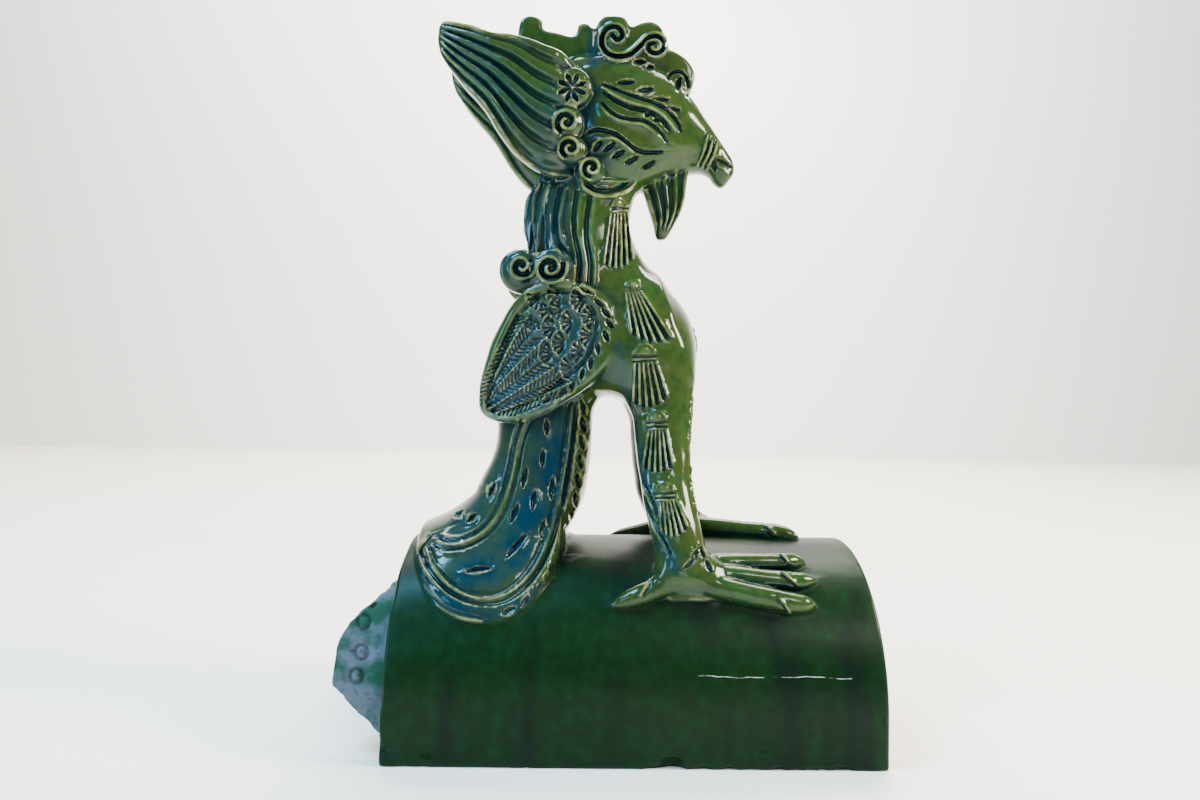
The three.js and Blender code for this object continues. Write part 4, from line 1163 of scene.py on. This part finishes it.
def hairline():
    """A fine pale crack along the near side of the tile."""
    place = node("ShaderNodeSeparateXYZ")
    TREE.links.new(node("ShaderNodeTexCoord").outputs["Object"], place.inputs[0])
    x, y, z = place.outputs
    level = calculated("ADD", z, times(noise(40, 5), -0.0040))
    thin = calculated("COMPARE", level, CRACK_Z, CRACK_HALF)
    within = calculated("COMPARE", x, CRACK_X, CRACK_REACH)
    near = calculated("LESS_THAN", y, 0)
    worn = spread(noise(130, 2), 0.44, 0.60)
    return times(times(times(thin, within), near), worn)


def make_glaze():
    shader = TREE.nodes["Principled BSDF"]
    bird, bare = attribute("bird"), attribute("bare")

    body = mixed_colour(spread(noise(38, 4), 0.36, 0.66), GREEN, WARM_GREEN)
    body = mixed_colour(times(spread(noise(170, 4), 0.46, 0.80), 0.8), body, DEEP_GREEN)
    tile = mixed_colour(spread(noise(30, 5, (1, 1, 0.35)), 0.35, 0.7), TILE_GREEN, TILE_WARM)
    tile = mixed_colour(times(spread(noise(150, 4), 0.44, 0.68), 0.7), tile, TILE_GRAIN)
    tile = mixed_colour(times(spread(noise(20, 3, (1.4, 1, 0.10)), 0.50, 0.66), 0.85), tile, TILE_STREAK)
    colour = mixed_colour(bird, tile, body)

    drift = spread(noise(55, 4), 0.35, 0.6, to_low=0.55)
    # Glaze pooling in blue, with painted shade and painted reflection in the same blue
    colour = mixed_colour(times(attribute("blue_glaze_and_shade"), drift, clamp=True), colour, GLAZE_AND_SHADE_BLUE)
    # Painted shade: darker teal under and between parts
    colour = mixed_colour(times(attribute("painted_shade"), 0.8), colour, PAINTED_SHADE_TEAL)
    colour = mixed_colour(attribute("cavity"), colour, CAVITY_DARK)
    rub = times(spread(attribute("crest"), 0.34, 0.95), 0.62)
    colour = mixed_colour(rub, colour, mixed_colour(spread(noise(120, 2), 0.4, 0.7), OLIVE, PALE))

    clay = mixed_colour(spread(noise(60, 4), 0.42, 0.58), CLAY, CLAY_GREEN)
    clay = mixed_colour(spread(noise(300, 2), 0.55, 0.8), clay, CLAY_SPECK)
    colour = mixed_colour(bare, colour, clay)
    colour = mixed_colour(hairline(), colour, CRACK)
    TREE.links.new(colour, shader.inputs["Base Color"])

    glossy = spread(bird, 0, 1, TILE_ROUGHNESS, BIRD_ROUGHNESS)
    TREE.links.new(calculated("ADD", times(bare, BARE_ROUGHER), glossy), shader.inputs["Roughness"])
    shader.inputs["IOR"].default_value = 1.45
    shader.inputs["Specular IOR Level"].default_value = 0.12
    TREE.links.new(times(bird, BIRD_COAT), shader.inputs["Coat Weight"])
    shader.inputs["Coat Roughness"].default_value = 0.09
    shader.inputs["Coat IOR"].default_value = 1.5
    bump = node("ShaderNodeBump")
    bump.inputs["Strength"].default_value = 0.22
    bump.inputs["Distance"].default_value = 0.0004
    TREE.links.new(noise(170, 3), bump.inputs["Height"])
    TREE.links.new(bump.outputs["Normal"], shader.inputs["Normal"])


make_glaze()
mesh.materials.clear()
mesh.materials.append(glaze)
sculpture = bpy.data.objects.new(NODE + "_skin", mesh)
bpy.context.scene.collection.objects.link(sculpture)
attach(sculpture, "root")
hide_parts(NODE)
print("skin:", len(mesh.polygons), "faces")


# Floor, backdrop, lights and camera

def plain(name, colour, roughness):
    material = bpy.data.materials.new(name)
    material.use_nodes = True
    shader = material.node_tree.nodes["Principled BSDF"]
    shader.inputs["Base Color"].default_value = (*colour, 1)
    shader.inputs["Roughness"].default_value = roughness
    return material


def sheet(name, corners, material):
    made = bpy.data.meshes.new(name)
    made.from_pydata(corners, [], [(0, 1, 2, 3)])
    made.materials.append(material)
    thing = bpy.data.objects.new(name, made)
    bpy.context.scene.collection.objects.link(thing)


HALF_ROOM, ROOM_FRONT, WALL_AWAY, WALL_TOP = 6, -2.5, 3.1, 5
sheet("floor", [(-HALF_ROOM, ROOM_FRONT, 0), (HALF_ROOM, ROOM_FRONT, 0),
                (HALF_ROOM, WALL_AWAY, 0), (-HALF_ROOM, WALL_AWAY, 0)],
      plain("pale floor", (0.93, 0.87, 0.77), 0.45))
sheet("backdrop", [(-HALF_ROOM, WALL_AWAY, 0), (HALF_ROOM, WALL_AWAY, 0),
                   (HALF_ROOM, WALL_AWAY, WALL_TOP), (-HALF_ROOM, WALL_AWAY, WALL_TOP)],
      plain("pale wall", (0.90, 0.89, 0.87), 0.8))


def placed(axes, place):
    """A matrix with those three axes, at a place in metres."""
    rows = np.stack(axes, axis=1)
    return Matrix([[*rows[i], place[i]] for i in range(3)] + [[0, 0, 0, 1]])


def area_light(name, place, aim, size, power, colour):
    data = bpy.data.lights.new(name, "AREA")
    data.shape = "RECTANGLE"
    data.size, data.size_y = size
    data.energy = power
    data.color = colour
    lamp = bpy.data.objects.new(name, data)
    way = np.array(aim, float) - np.array(place, float)
    away = -way / np.linalg.norm(way)
    side = np.cross((0, 0, 1), away)
    side /= np.linalg.norm(side)
    lamp.matrix_world = placed((side, np.cross(away, side), away), place)
    bpy.context.scene.collection.objects.link(lamp)


# Place, aim and size in metres, power in watts, colour
for lamp in (("warm key", (1.6, -0.3, 1.05), (0, 0, 0.25), (0.55, 0.55), 88, (1.0, 0.91, 0.76)),
        ("cool window", (-0.75, -0.3, 1.75), (0, 0, 0.2), (0.45, 0.8), 66, (0.22, 0.62, 1.0)),
        ("cool side", (-1.6, -0.6, 0.45), (0, 0, 0.2), (0.3, 0.9), 26, (0.32, 0.70, 1.0)),
        ("cool front", (-0.8, -1.3, 1.0), (0, 0, 0.2), (0.35, 0.6), 10, (0.12, 0.50, 1.0)),
        ("soft front", (0.9, -1.5, 1.5), (0, 0, 0.2), (0.45, 0.45), 18, (1.0, 0.98, 0.93)),
        ("wall wash", (0, 1.5, 3.2), (0, 3.1, 0.8), (4.5, 0.6), 320, (1.0, 0.98, 0.94)),
        ("floor wash", (0.6, 1.6, 2.4), (0.3, 1.4, 0), (2.4, 1.2), 115, (1.0, 0.93, 0.82))):
    area_light(*lamp)

world = bpy.data.worlds.new("soft room")
world.use_nodes = True
world.node_tree.nodes["Background"].inputs["Color"].default_value = (1.0, 0.96, 0.91, 1)
world.node_tree.nodes["Background"].inputs["Strength"].default_value = 0.29
bpy.context.scene.world = world

camera_data = bpy.data.cameras.new("camera")
camera_data.sensor_width = SENSOR
camera_data.lens = SENSOR * FOCUS / PICTURE_WIDTH
camera_data.shift_y = (CENTRE_V - PICTURE_HEIGHT / 2) / PICTURE_WIDTH
camera = bpy.data.objects.new("camera", camera_data)
camera.matrix_world = placed((CAM_RIGHT, CAM_UP, -CAM_FORWARD), CAMERA / MM)
bpy.context.scene.collection.objects.link(camera)
bpy.context.scene.camera = camera
